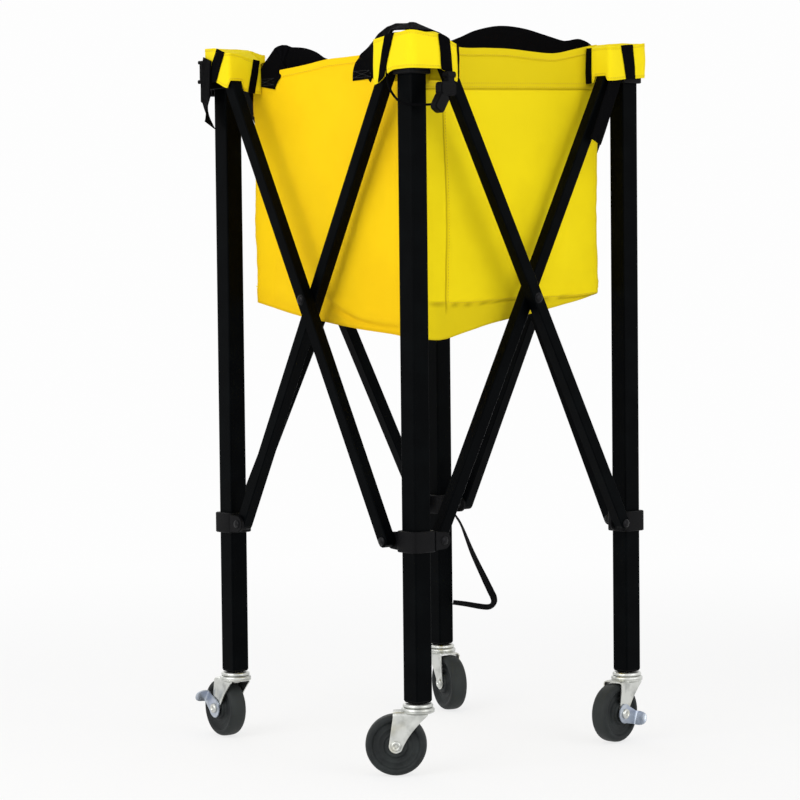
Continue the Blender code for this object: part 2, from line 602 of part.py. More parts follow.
def draw_cord_curve():
    """The thin cord that hangs across the leg from the front sleeve to its toggle, as a round tube."""
    left = -SLEEVE_INNER_OUT - 0.001
    toggle_x, toggle_y = TOGGLE_AT
    toggle_foot = TOGGLE_Z - TOGGLE_SIZE[2] / 2 - GAP
    route = [(left + 0.001, 0.020, SLEEVE_LOW_Z - GAP), (left, 0.0195, 0.845), (left, 0.014, 0.830),
             (left, 0.001, 0.817), (left + 0.001, -0.015, 0.811), (-0.016, -0.0245, 0.810),
             (-0.004, -0.033, 0.810), (0.010, toggle_y, 0.812), (toggle_x - 0.006, toggle_y, 0.8155),
             (toggle_x - 0.001, toggle_y, toggle_foot - 0.005), (toggle_x, toggle_y, toggle_foot)]
    points = [Vector(p) for p in route]
    curve = bpy.data.curves.new("cord", "CURVE")
    curve.dimensions = "3D"
    curve.bevel_depth = CORD_RADIUS
    curve.bevel_resolution = 2
    curve.use_fill_caps = True
    spline = curve.splines.new("POLY")
    fine = [smooth(points, i, k / 3) for i in range(len(points) - 1) for k in range(3)] + [points[-1]]
    spline.points.add(len(fine) - 1)
    for spot, at in zip(spline.points, fine):
        spot.co = (*at, 1)
    return curve


def tie_strap_mesh():
    """The webbing tie of the back collar: down and out from it, then back to the leg."""
    heading = math.radians(TIE_HEADING - 90 * CORNERS.index("back"))
    away = Vector((math.cos(heading), math.sin(heading), 0))
    across = Vector((0, 0, 1)).cross(away)
    top = COLLAR_PIVOT_Z - COLLAR_HEIGHT / 2
    face = LEG_SIDE / 2 * math.sqrt(2) + GAP
    stations = [(face + 0.002, top - 0.001), (face + 0.012, top - 0.018),
                (TIE_REACH - 0.012, TIE_LOW_Z + 0.034),
                (TIE_REACH - 0.001, TIE_LOW_Z + 0.012), (TIE_REACH, TIE_LOW_Z + 0.002),
                (TIE_REACH - 0.006, TIE_LOW_Z - 0.002), (face + 0.020, TIE_LOW_Z + 0.002),
                (face + 0.001, TIE_LOW_Z + 0.001)]
    route = [(away * out + Vector((0, 0, z)), across) for out, z in stations]
    return strap(route, TIE_WIDTH, TIE_THICKNESS)


def strap_end_mesh():
    """The loose end of a strap, which hangs aslant from the right sleeve beside the inner bar."""
    top = Vector((-SLEEVE_INNER_OUT, SLEEVE_END - STRAP_END_WIDTH / 2, SLEEVE_LOW_Z - GAP))
    foot = top + Vector((0, STRAP_END_LEAN, -STRAP_END_DROP))
    side, thick = Vector((0, STRAP_END_WIDTH / 2, 0)), Vector((WEBBING / 2, 0, 0))
    return ribbon([[at - side - thick, at + side - thick, at + side + thick, at - side + thick]
                   for at in (top, foot)])


def scissor(frame_name, outer_first, parent, finishes, meshes):
    """The two bars of the side that follows a corner, as two jointed bodies. The first bar hangs from
    the leg that is already placed, and the second turns on the rivet where they cross."""
    frame = corner_frame(frame_name)
    side = f"{frame_name}_{next_corner(frame_name)}"
    middle = LEG_SPACING / 2
    lean = Vector((BAR_RUN, 0, -BAR_DROP))
    outer_place = frame @ axes(lean, (0, -1, 0), (PIVOT_REACH, -OUTER_BAR_OUT, TOP_PIVOT_Z))
    back_lean = Vector((-BAR_RUN, 0, -BAR_DROP))
    inner_top = (LEG_SPACING - PIVOT_REACH, -INNER_BAR_OUT, TOP_PIVOT_Z)
    inner_place = frame @ axes(back_lean, (0, -1, 0), inner_top)
    outer_cross = frame @ axes(lean, (0, -1, 0), (middle, -OUTER_BAR_OUT, CROSSING_Z))
    inner_cross = frame @ axes(back_lean, (0, -1, 0), (middle, -INNER_BAR_OUT, CROSSING_Z))
    if outer_first:
        outer_body = pivot(f"{side}_outer_bar_body", outer_place, parent)
        inner_body = pivot(f"{side}_inner_bar_body", inner_cross, outer_body)
        piece(f"{side}_outer_bar", meshes["bar_end"], outer_place, outer_body, finishes["black"])
        piece(f"{side}_inner_bar", meshes["bar_middle"], inner_cross, inner_body, finishes["black"])
    else:
        inner_body = pivot(f"{side}_inner_bar_body", inner_place, parent)
        outer_body = pivot(f"{side}_outer_bar_body", outer_cross, inner_body)
        piece(f"{side}_inner_bar", meshes["bar_end"], inner_place, inner_body, finishes["black"])
        piece(f"{side}_outer_bar", meshes["bar_middle"], outer_cross, outer_body, finishes["black"])
    piece(f"{side}_crossing_rivet", meshes["crossing_rivet"], outer_cross, outer_body, finishes["rivet"])
    return outer_body, inner_body


def leg_group(name, body, finishes, meshes):
    """A leg with its cap, the plug in its foot, the caster's stem, and the bag's sleeve."""
    frame = corner_frame(name)
    at_pivots = frame @ Matrix.Translation((0, 0, TOP_PIVOT_Z))
    piece(f"{name}_leg", meshes["leg"], frame, body, finishes["black"])
    piece(f"{name}_leg_cap", meshes["cap"], at_pivots, body, finishes["moulded"])
    piece(f"{name}_leg_plug", meshes["plug"], frame, body, finishes["moulded"])
    piece(f"{name}_caster_stem", meshes["stem"], frame, body, finishes["zinc"])
    piece(f"{name}_bag_sleeve", corner_sleeve_mesh(name), frame, body, finishes["cloth"])


def collar_group(name, body, finishes, meshes):
    frame = corner_frame(name) @ Matrix.Translation((0, 0, COLLAR_PIVOT_Z))
    piece(f"{name}_collar", meshes["collar"], frame, body, finishes["moulded"])


def caster_group(name, leg_body, finishes, meshes):
    """A swivel fork with its axle, the wheel, and a brake lever on the left and right casters."""
    centre = corner_frame(name).to_translation()
    frame = Matrix.Translation(centre) @ Matrix.Rotation(math.radians(CASTER_HEADING[name]), 4, "Z")
    braked = name in LEVER_ANGLE
    along_axle = frame @ axes((1, 0, 0), (0, 1, 0), (CASTER_TRAIL, 0, WHEEL_RADIUS))
    swivel = pivot(f"{name}_caster_body", frame, leg_body)
    fork = meshes["braked_fork" if braked else "plain_fork"]
    piece(f"{name}_caster_fork", fork, frame, swivel, finishes["zinc"])
    wheel_body = pivot(f"{name}_wheel_body", along_axle, swivel)
    flat_down = Matrix.Rotation(math.pi / WHEEL_SIDES, 4, "Z")
    piece(f"{name}_wheel", meshes["wheel"], along_axle @ flat_down, wheel_body, finishes["rubber"])
    if braked:
        lift = math.radians(-LEVER_ANGLE[name])
        place = along_axle @ Matrix.Rotation(lift, 4, "Z")
        lever_body = pivot(f"{name}_brake_body", place, swivel)
        piece(f"{name}_brake_lever", meshes["lever"], place, lever_body, finishes["lever"])


def shared_meshes():
    """The pieces that repeat, each made once."""
    crossing_low = INNER_BAR_OUT - BAR_HALF - OUTER_BAR_OUT - GAP
    return {
        "leg": leg_mesh(),
        "cap": cap_mesh(),
        "collar": collar_mesh(),
        "bar_end": bar_mesh(0.0),
        "bar_middle": bar_mesh(BAR_LENGTH / 2),
        "crossing_rivet": rivet_mesh(crossing_low, BAR_HALF + GAP),
        "plug": plug_mesh(),
        "stem": stem_mesh(),
        "plain_fork": fork_mesh(False),
        "braked_fork": fork_mesh(True),
        "wheel": wheel_mesh(),
        "lever": lever_mesh(),
    }


def build():
    clear_scene()
    finishes = {
        "black": material("black_powder_coat", (0.012, 0.013, 0.014), 0.45, 0.2),
        "moulded": material("black_nylon", (0.012, 0.012, 0.013), 0.5),
        "rivet": material("black_rivet", (0.02, 0.02, 0.02), 0.4, 0.6),
        "zinc": material("zinc_plate", (0.55, 0.56, 0.54), 0.32, 1.0),
        "lever": material("lever_plate", (0.42, 0.46, 0.52), 0.35, 1.0),
        "rubber": material("grey_rubber", (0.022, 0.025, 0.026), 0.7),
        "cloth": material("yellow_cloth", (0.86, 0.62, 0.02), 0.8),
        "webbing": material("black_webbing", (0.01, 0.01, 0.01), 0.85),
    }
    meshes = shared_meshes()

    # The tree of bodies: front leg, two sides from it, the left and right legs, and the back leg
    front = pivot("front_leg_body", corner_frame("front"))
    outer, inner = scissor("left", False, front, finishes, meshes)
    left_hinge = corner_frame("left") @ Matrix.Translation((PIVOT_REACH, 0, TOP_PIVOT_Z))
    left = pivot("left_leg_body", left_hinge, outer)
    front_collar = corner_frame("front") @ Matrix.Translation((0, PIVOT_REACH, COLLAR_PIVOT_Z))
    left_collar = corner_frame("left") @ Matrix.Translation((PIVOT_REACH, 0, COLLAR_PIVOT_Z))
    collar_group("front", pivot("front_collar_body", front_collar, outer), finishes, meshes)
    collar_group("left", pivot("left_collar_body", left_collar, inner), finishes, meshes)

    outer, inner = scissor("front", True, front, finishes, meshes)
    right_hinge = corner_frame("right") @ Matrix.Translation((0, PIVOT_REACH, TOP_PIVOT_Z))
    right = pivot("right_leg_body", right_hinge, inner)
    right_collar = corner_frame("right") @ Matrix.Translation((0, PIVOT_REACH, COLLAR_PIVOT_Z))
    collar_group("right", pivot("right_collar_body", right_collar, outer), finishes, meshes)

    outer, inner = scissor("back", False, left, finishes, meshes)
    back_hinge = corner_frame("back") @ Matrix.Translation((PIVOT_REACH, 0, TOP_PIVOT_Z))
    back = pivot("back_leg_body", back_hinge, outer)
    back_collar = corner_frame("back") @ Matrix.Translation((PIVOT_REACH, 0, COLLAR_PIVOT_Z))
    back_collar_body = pivot("back_collar_body", back_collar, inner)
    collar_group("back", back_collar_body, finishes, meshes)
    scissor("right", True, right, finishes, meshes)

    for name, body in zip(CORNERS, (left, front, right, back)):
        leg_group(name, body, finishes, meshes)
        caster_group(name, body, finishes, meshes)

    # The bag: walls on the left and right legs, two floor halves, handles and trimmings
    for name, ahead, behind, body in (("left", "front", "back", left), ("right", "back", "front", right)):
        frame = corner_frame(name)
        piece(f"bag_{name}_walls", bag_half_mesh(name, ahead, behind), frame, body, finishes["cloth"])
        hinge_at = (LEG_SPACING / 2, LEG_SPACING / 2 - BAG_HALF + BAG_WALL + GAP, BAG_FLOOR_Z)
        hinge = frame @ Matrix.Translation(hinge_at)
        floor_body = pivot(f"bag_{name}_floor_body", hinge, body)
        piece(f"bag_{name}_floor", bag_floor_mesh(), hinge, floor_body, finishes["cloth"])
        piece(f"{name}_handle", handle_mesh(name), frame, body, finishes["webbing"])

    # A buckle on the left sleeve, a cord with its toggle on the front sleeve, a loose strap end by the
    # right bar, and a tie on the back collar
    beside = -(SLEEVE_INNER_OUT + SLEEVE_CLOTH / 2 + GAP + BUCKLE_SIZE[0] / 2)
    buckle = corner_frame("left") @ Matrix.Translation((beside, *BUCKLE_AT))
    piece("left_buckle", box(BUCKLE_SIZE, chamfer=0.004), buckle, left, finishes["moulded"])
    toggle = corner_frame("front") @ Matrix.Translation((*TOGGLE_AT, TOGGLE_Z))
    piece("front_cord_toggle", box(TOGGLE_SIZE, chamfer=0.003), toggle, front, finishes["moulded"])
    cord = bpy.data.objects.new("front_draw_cord", draw_cord_curve())
    cord.data.materials.append(finishes["webbing"])
    bpy.context.scene.collection.objects.link(cord)
    attach(cord, front, corner_frame("front"))
    piece("right_strap_end", strap_end_mesh(), corner_frame("right"), right, finishes["webbing"])
    piece("back_tie_strap", tie_strap_mesh(), corner_frame("back"), back_collar_body,
          finishes["webbing"])


build()
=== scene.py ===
# %% [markdown]
# # The looks of a ball basket
#
# A ball basket is a folding cart: four square legs on casters, crossed bars between them that
# close like scissors, and a yellow cloth bag that hangs from the leg caps. This lesson dresses a
# packed CAD model of one. The model gives every rigid piece its place and its joints, and each
# step here adds a finish or replaces a plain solid with a fuller form.

# %% Load the packed model
import math

import bmesh
import bpy
from mathutils import Matrix, Vector, noise


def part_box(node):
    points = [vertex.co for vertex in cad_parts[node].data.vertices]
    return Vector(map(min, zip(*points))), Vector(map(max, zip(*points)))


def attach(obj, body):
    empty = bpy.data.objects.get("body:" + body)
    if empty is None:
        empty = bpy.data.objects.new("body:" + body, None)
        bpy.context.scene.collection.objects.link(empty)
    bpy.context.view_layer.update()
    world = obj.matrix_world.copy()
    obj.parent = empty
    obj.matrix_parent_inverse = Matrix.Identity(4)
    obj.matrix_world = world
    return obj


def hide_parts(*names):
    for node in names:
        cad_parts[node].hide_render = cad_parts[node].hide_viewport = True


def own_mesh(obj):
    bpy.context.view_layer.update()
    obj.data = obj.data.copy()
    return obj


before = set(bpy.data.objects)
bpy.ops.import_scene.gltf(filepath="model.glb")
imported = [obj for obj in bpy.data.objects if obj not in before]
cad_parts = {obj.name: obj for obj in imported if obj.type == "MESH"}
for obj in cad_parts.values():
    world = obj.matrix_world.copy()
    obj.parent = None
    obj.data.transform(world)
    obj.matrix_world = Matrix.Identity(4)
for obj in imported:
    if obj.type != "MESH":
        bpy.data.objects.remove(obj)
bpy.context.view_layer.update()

# %% [markdown]
# ## Where things are
#
# Every piece of the cart sits at one of its four corners, so each corner gets a frame of its own:
# the origin is on the leg's axis, X points along the side to the next leg and Y to the last one.
# Reading the legs' boxes keeps these frames true if the model changes. Typing the numbers would
# work only once.

# %% Corner frames
CORNERS = ("left", "front", "right", "back")
leg_axis = {}
for name in CORNERS:
    low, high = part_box(f"{name}_leg")
    leg_axis[name] = Vector(((low.x + high.x) / 2, (low.y + high.y) / 2, 0))
SPACING = (leg_axis["front"] - leg_axis["left"]).length
CENTRE = sum(leg_axis.values(), Vector()) / 4


def corner_frame(name):
    """Origin on a leg's axis, X towards the next leg, Y towards the last one."""
    turn = Matrix.Rotation(math.radians(90 * CORNERS.index(name)), 4, "Z")
    return Matrix.Translation(leg_axis[name]) @ turn


def next_corner(name):
    return CORNERS[(CORNERS.index(name) + 1) % 4]


print("leg spacing", round(SPACING, 4), "centre", [round(v, 4) for v in CENTRE])

# %% [markdown]
# ## The camera
#
# The camera stands 3.6 m from the cart at desk height and looks slightly down, as for a product
# photograph. It could be aimed with a Track To constraint, but a measured view also leans a little,
# so its three axes are worked out here and put in its matrix.

# %% Camera
CAMERA_AZIMUTH = math.radians(-41.6)
CAMERA_DISTANCE = 3.62
CAMERA_HEIGHT = 0.634
CAMERA_PITCH = math.radians(3.02)
CAMERA_PAN = math.radians(0.565)
CAMERA_LEAN = math.radians(0.6)
FOCAL_PIXELS = 2790.0
PICTURE_PIXELS = 800.0

away = Vector((math.cos(CAMERA_AZIMUTH), math.sin(CAMERA_AZIMUTH), 0))
ahead = Matrix.Rotation(CAMERA_PAN, 3, "Z") @ -away
beside = ahead.cross(Vector((0, 0, 1)))
ahead = ahead * math.cos(CAMERA_PITCH) - Vector((0, 0, math.sin(CAMERA_PITCH)))
above = beside.cross(ahead)
right = beside * math.cos(CAMERA_LEAN) - above * math.sin(CAMERA_LEAN)
up = above * math.cos(CAMERA_LEAN) + beside * math.sin(CAMERA_LEAN)

camera_data = bpy.data.cameras.new("camera")
camera_data.sensor_width = 36.0
camera_data.lens = 36.0 * FOCAL_PIXELS / PICTURE_PIXELS
camera = bpy.data.objects.new("camera", camera_data)
bpy.context.scene.collection.objects.link(camera)
bpy.context.scene.camera = camera
stand = CENTRE + away * CAMERA_DISTANCE + Vector((0, 0, CAMERA_HEIGHT))
camera.matrix_world = Matrix((
    (right.x, up.x, -ahead.x, stand.x), (right.y, up.y, -ahead.y, stand.y),
    (right.z, up.z, -ahead.z, stand.z), (0, 0, 0, 1)))
print("camera at", [round(v, 3) for v in stand], "lens", round(camera_data.lens, 2))

# %% [markdown]
# ## Writing materials as sums
#
# A procedural material is arithmetic on patterns: bump = weave + creases. Placing Math nodes by
# hand hides that, so a small class wraps a shader socket and lets Python's own operators add the
# nodes. One more method adds any other node from its type, settings and inputs.

# %% Shader maths
class Value:
    """A number or vector in a material that can be used in Python sums."""

    def __init__(self, finish, socket):
        self.finish, self.socket = finish, socket

    def work(self, operation, *others):
        inputs = dict(enumerate(others))
        return self.finish.node("ShaderNodeMath", {"operation": operation}, inputs)

    def __add__(self, other):
        return self.work("ADD", self, other)

    def __sub__(self, other):
        return self.work("SUBTRACT", self, other)

    def __rsub__(self, other):
        return self.work("SUBTRACT", other, self)

    def __mul__(self, other):
        return self.work("MULTIPLY", self, other)

    __radd__ = __add__
    __rmul__ = __mul__

    def sine(self):
        return self.work("SINE", self)

    def size(self):
        return self.work("ABSOLUTE", self)

    def ramp(self, low, high):
        """0 below low, 1 above high, smooth between."""
        return self.finish.node("ShaderNodeMapRange", {"interpolation_type": "SMOOTHSTEP"},
                                {"Value": self, "From Min": low, "From Max": high})


class Finish:
    """A material for one finish of the cart, built round one Principled shader."""

    def __init__(self, name, colour, roughness, **constants):
        self.material = bpy.data.materials.new(name)
        self.material.use_nodes = True
        self.tree = self.material.node_tree
        self.tree.nodes.clear()
        self.shader = self.tree.nodes.new("ShaderNodeBsdfPrincipled")
        output = self.tree.nodes.new("ShaderNodeOutputMaterial")
        self.tree.links.new(self.shader.outputs[0], output.inputs[0])
        self.shader.inputs["Base Color"].default_value = (*colour, 1)
        self.shader.inputs["Roughness"].default_value = roughness
        self.material.diffuse_color = (*colour, 1)
        for socket, value in constants.items():
            self.shader.inputs[socket.replace("_", " ")].default_value = value

    def fill(self, socket, value):
        if isinstance(value, Value):
            self.tree.links.new(value.socket, socket)
        else:
            socket.default_value = value

    def node(self, kind, settings=None, inputs=None, output=0):
        """Adds a node of this type, with its settings first and then its inputs."""
        made = self.tree.nodes.new(kind)
        for setting, value in (settings or {}).items():
            setattr(made, setting, value)
        for socket, value in (inputs or {}).items():
            self.fill(made.inputs[socket], value)
        return Value(self, made.outputs[output])

    def place(self):
        """The point's own coordinates on the piece, in metres."""
        return self.node("ShaderNodeTexCoord", output="Object")

    def flat(self, axis):
        """How far along the cloth the point is, in metres: across is 0, up or along is 1."""
        uv = self.node("ShaderNodeUVMap", {"uv_map": "cloth"})
        return self.node("ShaderNodeSeparateXYZ", None, {0: uv}, axis)

    def painted(self, name):
        """A number painted on the piece's points."""
        return self.node("ShaderNodeAttribute", {"attribute_name": name}, output="Fac")

    def speckle(self, scale, detail=2.0, at=None):
        """Soft noise from 0 to 1 with this many cells in a metre."""
        at = self.place() if at is None else at
        return self.node("ShaderNodeTexNoise", None, {"Vector": at, "Scale": scale, "Detail": detail})

    def blend(self, share, first, second):
        """A colour between two colours."""
        first, second = ((*c, 1) if isinstance(c, tuple) else c for c in (first, second))
        return self.node("ShaderNodeMix", {"data_type": "RGBA"}, {0: share, 6: first, 7: second}, 2)

    def wear(self, colour=None, roughness=None, bump=None, depth=0.0002, strength=1.0):
        """Feeds the varied inputs of the shader."""
        if colour is not None:
            self.fill(self.shader.inputs["Base Color"], colour)
        if roughness is not None:
            self.fill(self.shader.inputs["Roughness"], roughness)
        if bump is not None:
            relief = self.node("ShaderNodeBump", None,
                               {"Height": bump, "Distance": depth, "Strength": strength})
            self.fill(self.shader.inputs["Normal"], relief)
        return self.material


print("a finish is built from", len([f for f in vars(Finish) if not f.startswith("_")]), "methods")

# %% [markdown]
# ## Coated yellow cloth
#
# The bag is woven polyester with a coating. Close up it has a fine plain weave, and from a step away
# it is a flat bright yellow with slow changes of tone. Shade is painted into the hollows of its seams,
# and a softer painted shade darkens it towards the bottom, in its top hem and in its skirt. The weave
# is the product of two sine waves over the cloth's own flat coordinates, so it bends with the cloth.
# A noise on its own would look like felt.

# %% Cloth finish
WEAVE_PITCH = 0.0011


def cloth_finish(name, bright, deep, shade_tone):
    """Coated cloth: bright, deep in its clouds, and darker where shade is painted ("low", and deeper in the
    seams).
    """
    finish = Finish(name, bright, 0.74, Specular_IOR_Level=0.09)
    across, along = finish.flat(0), finish.flat(1)
    turns = 2 * math.pi / WEAVE_PITCH
    weave = (across * turns).sine() * (along * turns).sine()
    cloud = finish.speckle(9.0, 3.0)
    crease = finish.speckle(46.0, 4.0)
    hollow = finish.painted("hollow")
    tone = finish.blend(cloud.ramp(0.42, 0.72) * 0.7, bright, deep)
    # Painted shade: where "low" is painted, the cloth leans to its shaded tone.
    tone = finish.blend(finish.painted("low"), tone, shade_tone)
    # Painted shade in the seams' grooves and over the inside: a much deeper yellow.
    tone = finish.blend(hollow * 0.85, tone, (deep[0] * 0.45, deep[1] * 0.42, deep[2] * 0.3))
    return finish.wear(tone, cloud * 0.14 + 0.66, weave * 0.25 + crease * 1.4, 0.0006, 0.55)


# For each cloth: its bright yellow, its deeper yellow in the clouds, and the tone of its painted shade.
CLOTH_TONES = {
    "left": ((0.96, 0.625, 0.0045), (0.90, 0.56, 0.0040), (0.80, 0.49, 0.0045)),
    "right": ((0.95, 0.75, 0.0060), (0.86, 0.66, 0.0045), (0.72, 0.555, 0.0060)),
    "sleeve": ((0.90, 0.715, 0.0075), (0.84, 0.645, 0.0060), (0.80, 0.53, 0.0060)),
}
CLOTH = {part: cloth_finish(f"yellow_cloth_{part}", *tones) for part, tones in CLOTH_TONES.items()}
THREAD = Finish("yellow_thread", (0.62, 0.43, 0.012), 0.7).material
BLACK_THREAD = Finish("black_thread", (0.03, 0.03, 0.032), 0.6).material
print("cloth finishes:", sorted(CLOTH))

# %% [markdown]
# ## Black webbing
#
# Webbing is woven in ribs that run across it, with a thicker selvedge along each edge. The ribs are
# a sine wave along the strap and the selvedge a ramp near its edges. Both read the strap's own flat
# coordinates, so they follow it round every turn.

# %% Webbing finish
WEBBING_WIDTH = 0.038


def webbing_finish(name, width, rib=0.0019):
    """Black webbing of this width, with this much from rib to rib."""
    finish = Finish(name, (0.0018, 0.0018, 0.0022), 0.88, Specular_IOR_Level=0.03)
    across, along = finish.flat(0), finish.flat(1)
    cords = (along * (2 * math.pi / rib)).sine()
    twill = (across * (2 * math.pi / (rib * 1.35)) + along * (math.pi / rib)).sine()
    edge = across.size().ramp(width / 2 - 0.0024, width / 2 - 0.0012)
    fuzz = finish.speckle(700.0, 2.0)
    # Painted light on the ribs: the colour is lighter where a rib is raised and darker between ribs.
    colour = finish.blend(cords * 0.25 + fuzz * 0.5, (0.0008, 0.0008, 0.0011), (0.0036, 0.0036, 0.0044))
    return finish.wear(colour, fuzz * 0.15 + 0.78, cords * 0.6 + twill * 0.35 + edge * 0.8 + fuzz * 0.3,
                       0.0004, 0.8)


WEBBING = webbing_finish("black_webbing", WEBBING_WIDTH)
BINDING = webbing_finish("black_binding", 0.012, 0.0014)
TIE_WEBBING = webbing_finish("black_tie_webbing", 0.020, 0.0016)
print("webbing finishes:", WEBBING.name, BINDING.name, TIE_WEBBING.name)

# %% [markdown]
# ## Painted and moulded black, and rivets
#
# Powder coat is sprayed as dust and baked, which leaves a skin with a slight orange peel. Moulded
# nylon is duller with a fine spark texture. Both are nearly the same black, so it is their
# roughness and relief that tell them apart.

# %% Black finishes
def powder_coat():
    finish = Finish("black_powder_coat", (0.0007, 0.0011, 0.0014), 0.45, Specular_IOR_Level=0.024)
    peel = finish.speckle(1400.0, 1.0)
    dust = finish.speckle(30.0, 3.0)
    colour = finish.blend(dust.ramp(0.35, 0.8), (0.0003, 0.0006, 0.0009), (0.0012, 0.0018, 0.0022))
    return finish.wear(colour, dust * 0.16 + 0.34, peel, 0.00008, 0.5)


def moulded_nylon():
    finish = Finish("black_nylon", (0.002, 0.002, 0.0024), 0.5, Specular_IOR_Level=0.08)
    spark = finish.speckle(2600.0, 2.0)
    colour = finish.blend(finish.speckle(60.0), (0.0013, 0.0013, 0.0017), (0.0035, 0.0035, 0.0042))
    return finish.wear(colour, spark * 0.2 + 0.42, spark, 0.00008, 0.6)


def blackened_steel():
    finish = Finish("blackened_steel", (0.012, 0.012, 0.013), 0.38, Metallic=0.6, Specular_IOR_Level=0.2)
    rub = finish.speckle(220.0, 3.0)
    colour = finish.blend(rub.ramp(0.55, 0.8), (0.006, 0.006, 0.007), (0.035, 0.035, 0.034))
    return finish.wear(colour, rub * 0.25 + 0.25, rub, 0.00006, 0.5)


POWDER, NYLON, RIVET_STEEL = powder_coat(), moulded_nylon(), blackened_steel()
print("black finishes:", POWDER.name, NYLON.name, RIVET_STEEL.name)

# %% [markdown]
# ## Zinc plate and rubber
#
# Bright zinc plating on pressed steel isn't a mirror. It has cloudy patches where the passivation
# took unevenly, faint yellow and blue tints, and fine lines from the press. The wheels are grey
# moulded rubber with a dusty bloom. Patches are noise at two scales, mixed as colours.

# %% Metal and rubber finishes
def zinc_plate(name, pale, dull, tint):
    finish = Finish(name, pale, 0.34, Metallic=1.0)
    cloud = finish.speckle(70.0, 4.0)
    grain = finish.speckle(900.0, 2.0)
    stretched = finish.node("ShaderNodeMapping", None, {0: finish.place(), 3: (60.0, 60.0, 900.0)})
    drawn = finish.node("ShaderNodeTexNoise", None, {"Vector": stretched, "Scale": 1.0, "Detail": 2.0})
    colour = finish.blend(cloud.ramp(0.4, 0.75), pale, dull)
    colour = finish.blend(finish.speckle(38.0, 2.0).ramp(0.5, 0.8) * 0.5, colour, tint)
    return finish.wear(colour, cloud * 0.22 + grain * 0.08 + 0.2, drawn + grain * 0.5, 0.00008, 0.35)


def wheel_rubber():
    finish = Finish("grey_rubber", (0.016, 0.019, 0.0195), 0.7, Specular_IOR_Level=0.22)
    bloom = finish.speckle(55.0, 4.0)
    grit = finish.speckle(1500.0, 2.0)
    colour = finish.blend(bloom.ramp(0.35, 0.8), (0.0085, 0.0105, 0.0110), (0.021, 0.025, 0.0250))
    colour = finish.blend(finish.painted("tread") * 0.55, colour, (0.029, 0.033, 0.032))
    return finish.wear(colour, bloom * 0.2 + 0.5, grit + bloom * 2.0, 0.0001, 0.6)


ZINC = zinc_plate("zinc_plate", (0.62, 0.63, 0.60), (0.40, 0.41, 0.39), (0.60, 0.57, 0.44))
LEVER_ZINC = zinc_plate("lever_plate", (0.50, 0.54, 0.60), (0.26, 0.29, 0.34), (0.38, 0.44, 0.60))
RUBBER = wheel_rubber()
print("metal and rubber finishes:", ZINC.name, LEVER_ZINC.name, RUBBER.name)

# %% [markdown]
# ## Making meshes
#
# Four small makers cover the rigid pieces: a turned one for round things, a pressed one for plates
# and blocks with eased edges, a ribbon for anything that is a row of rings, and one that joins
# shells and gives the result its name, finish and outward faces. Real parts have no sharp edges,
# and an eased edge catches a thin line of light, so blocks are always beveled a little.

# %% Mesh makers
def turned(profile, steps=48):
    """A closed shell of revolution about Z from (radius, height) points, top to bottom."""
    points, rings = [], []
    for radius, height in profile:
        count = 1 if radius == 0 else steps
        rings.append(range(len(points), len(points) + count))
        for k in range(count):
            angle = 2 * math.pi * k / steps
            points.append(Vector((radius * math.cos(angle), radius * math.sin(angle), height)))
    faces = []
    pairs = list(zip(rings, rings[1:]))
    if profile[0][0] > 0:
        pairs.append((rings[-1], rings[0]))
    for a, b in pairs:
        for k in range(steps):
            n = (k + 1) % steps
            corners = [a[k % len(a)], b[k % len(b)], b[n % len(b)], a[n % len(a)]]
            faces.append(list(dict.fromkeys(corners)))
    return points, faces


def rod(radius, low, high, steps=20):
    """A plain pin along Z."""
    return turned([(0, high), (radius, high), (radius, low), (0, low)], steps)


def pressed(outline, low, high, bevel=0.0, rounds=2):
    """A plate with this outline in X and Y, between two heights, with eased edges."""
    work = bmesh.new()
    ring = [work.verts.new((x, y, low)) for x, y in outline]
    face = work.faces.new(ring)
    made = bmesh.ops.extrude_face_region(work, geom=[face])
    lifted = [v for v in made["geom"] if isinstance(v, bmesh.types.BMVert)]
    bmesh.ops.translate(work, verts=lifted, vec=(0, 0, high - low))
    if bevel:
        sharp = [e for e in work.edges if e.calc_face_angle(0) > math.radians(35)]
        bmesh.ops.bevel(work, geom=sharp, offset=bevel, segments=rounds, affect="EDGES", clamp_overlap=True)
    bmesh.ops.recalc_face_normals(work, faces=work.faces)
    work.verts.index_update()
    shell = [v.co.copy() for v in work.verts], [[v.index for v in f.verts] for f in work.faces]
    work.free()
    return shell


def ribbon(rings, ends=True):
    """A shell through rings of points, with its two ends closed."""
    count = len(rings[0])
    points = [Vector(p) for ring in rings for p in ring]
    faces = []
    for i in range(len(rings) - 1):
        for k in range(count):
            n = (k + 1) % count
            faces.append([i * count + k, i * count + n, (i + 1) * count + n, (i + 1) * count + k])
    if ends:
        faces += [list(range(count))[::-1], list(range(len(points) - count, len(points)))]
    return points, faces


def moved(shell, place):
    return [place @ p for p in shell[0]], shell[1]


def joined(name, shells, finish, smooth=35.0):
    """One object at the origin from shells, each a list of points and a list of faces."""
    work = bmesh.new()
    for shell in shells:
        spots = [work.verts.new(p) for p in shell[0]]
        for face in shell[1]:
            work.faces.new([spots[i] for i in face])
    bmesh.ops.remove_doubles(work, verts=work.verts, dist=1e-7)
    bmesh.ops.recalc_face_normals(work, faces=work.faces)
    mesh = bpy.data.meshes.new(name)
    work.to_mesh(mesh)
    work.free()
    mesh.materials.append(finish)
    mesh.shade_smooth()
    mesh.set_sharp_from_angle(angle=math.radians(smooth))
    thing = bpy.data.objects.new(name, mesh)
    bpy.context.scene.collection.objects.link(thing)
    return thing


def dress(thing, body, slot, *nodes):
    """Lets a piece ride on its body and stand for CAD nodes. The slot argument is not used."""
    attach(thing, body)
    if nodes:
        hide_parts(*nodes)
    return thing


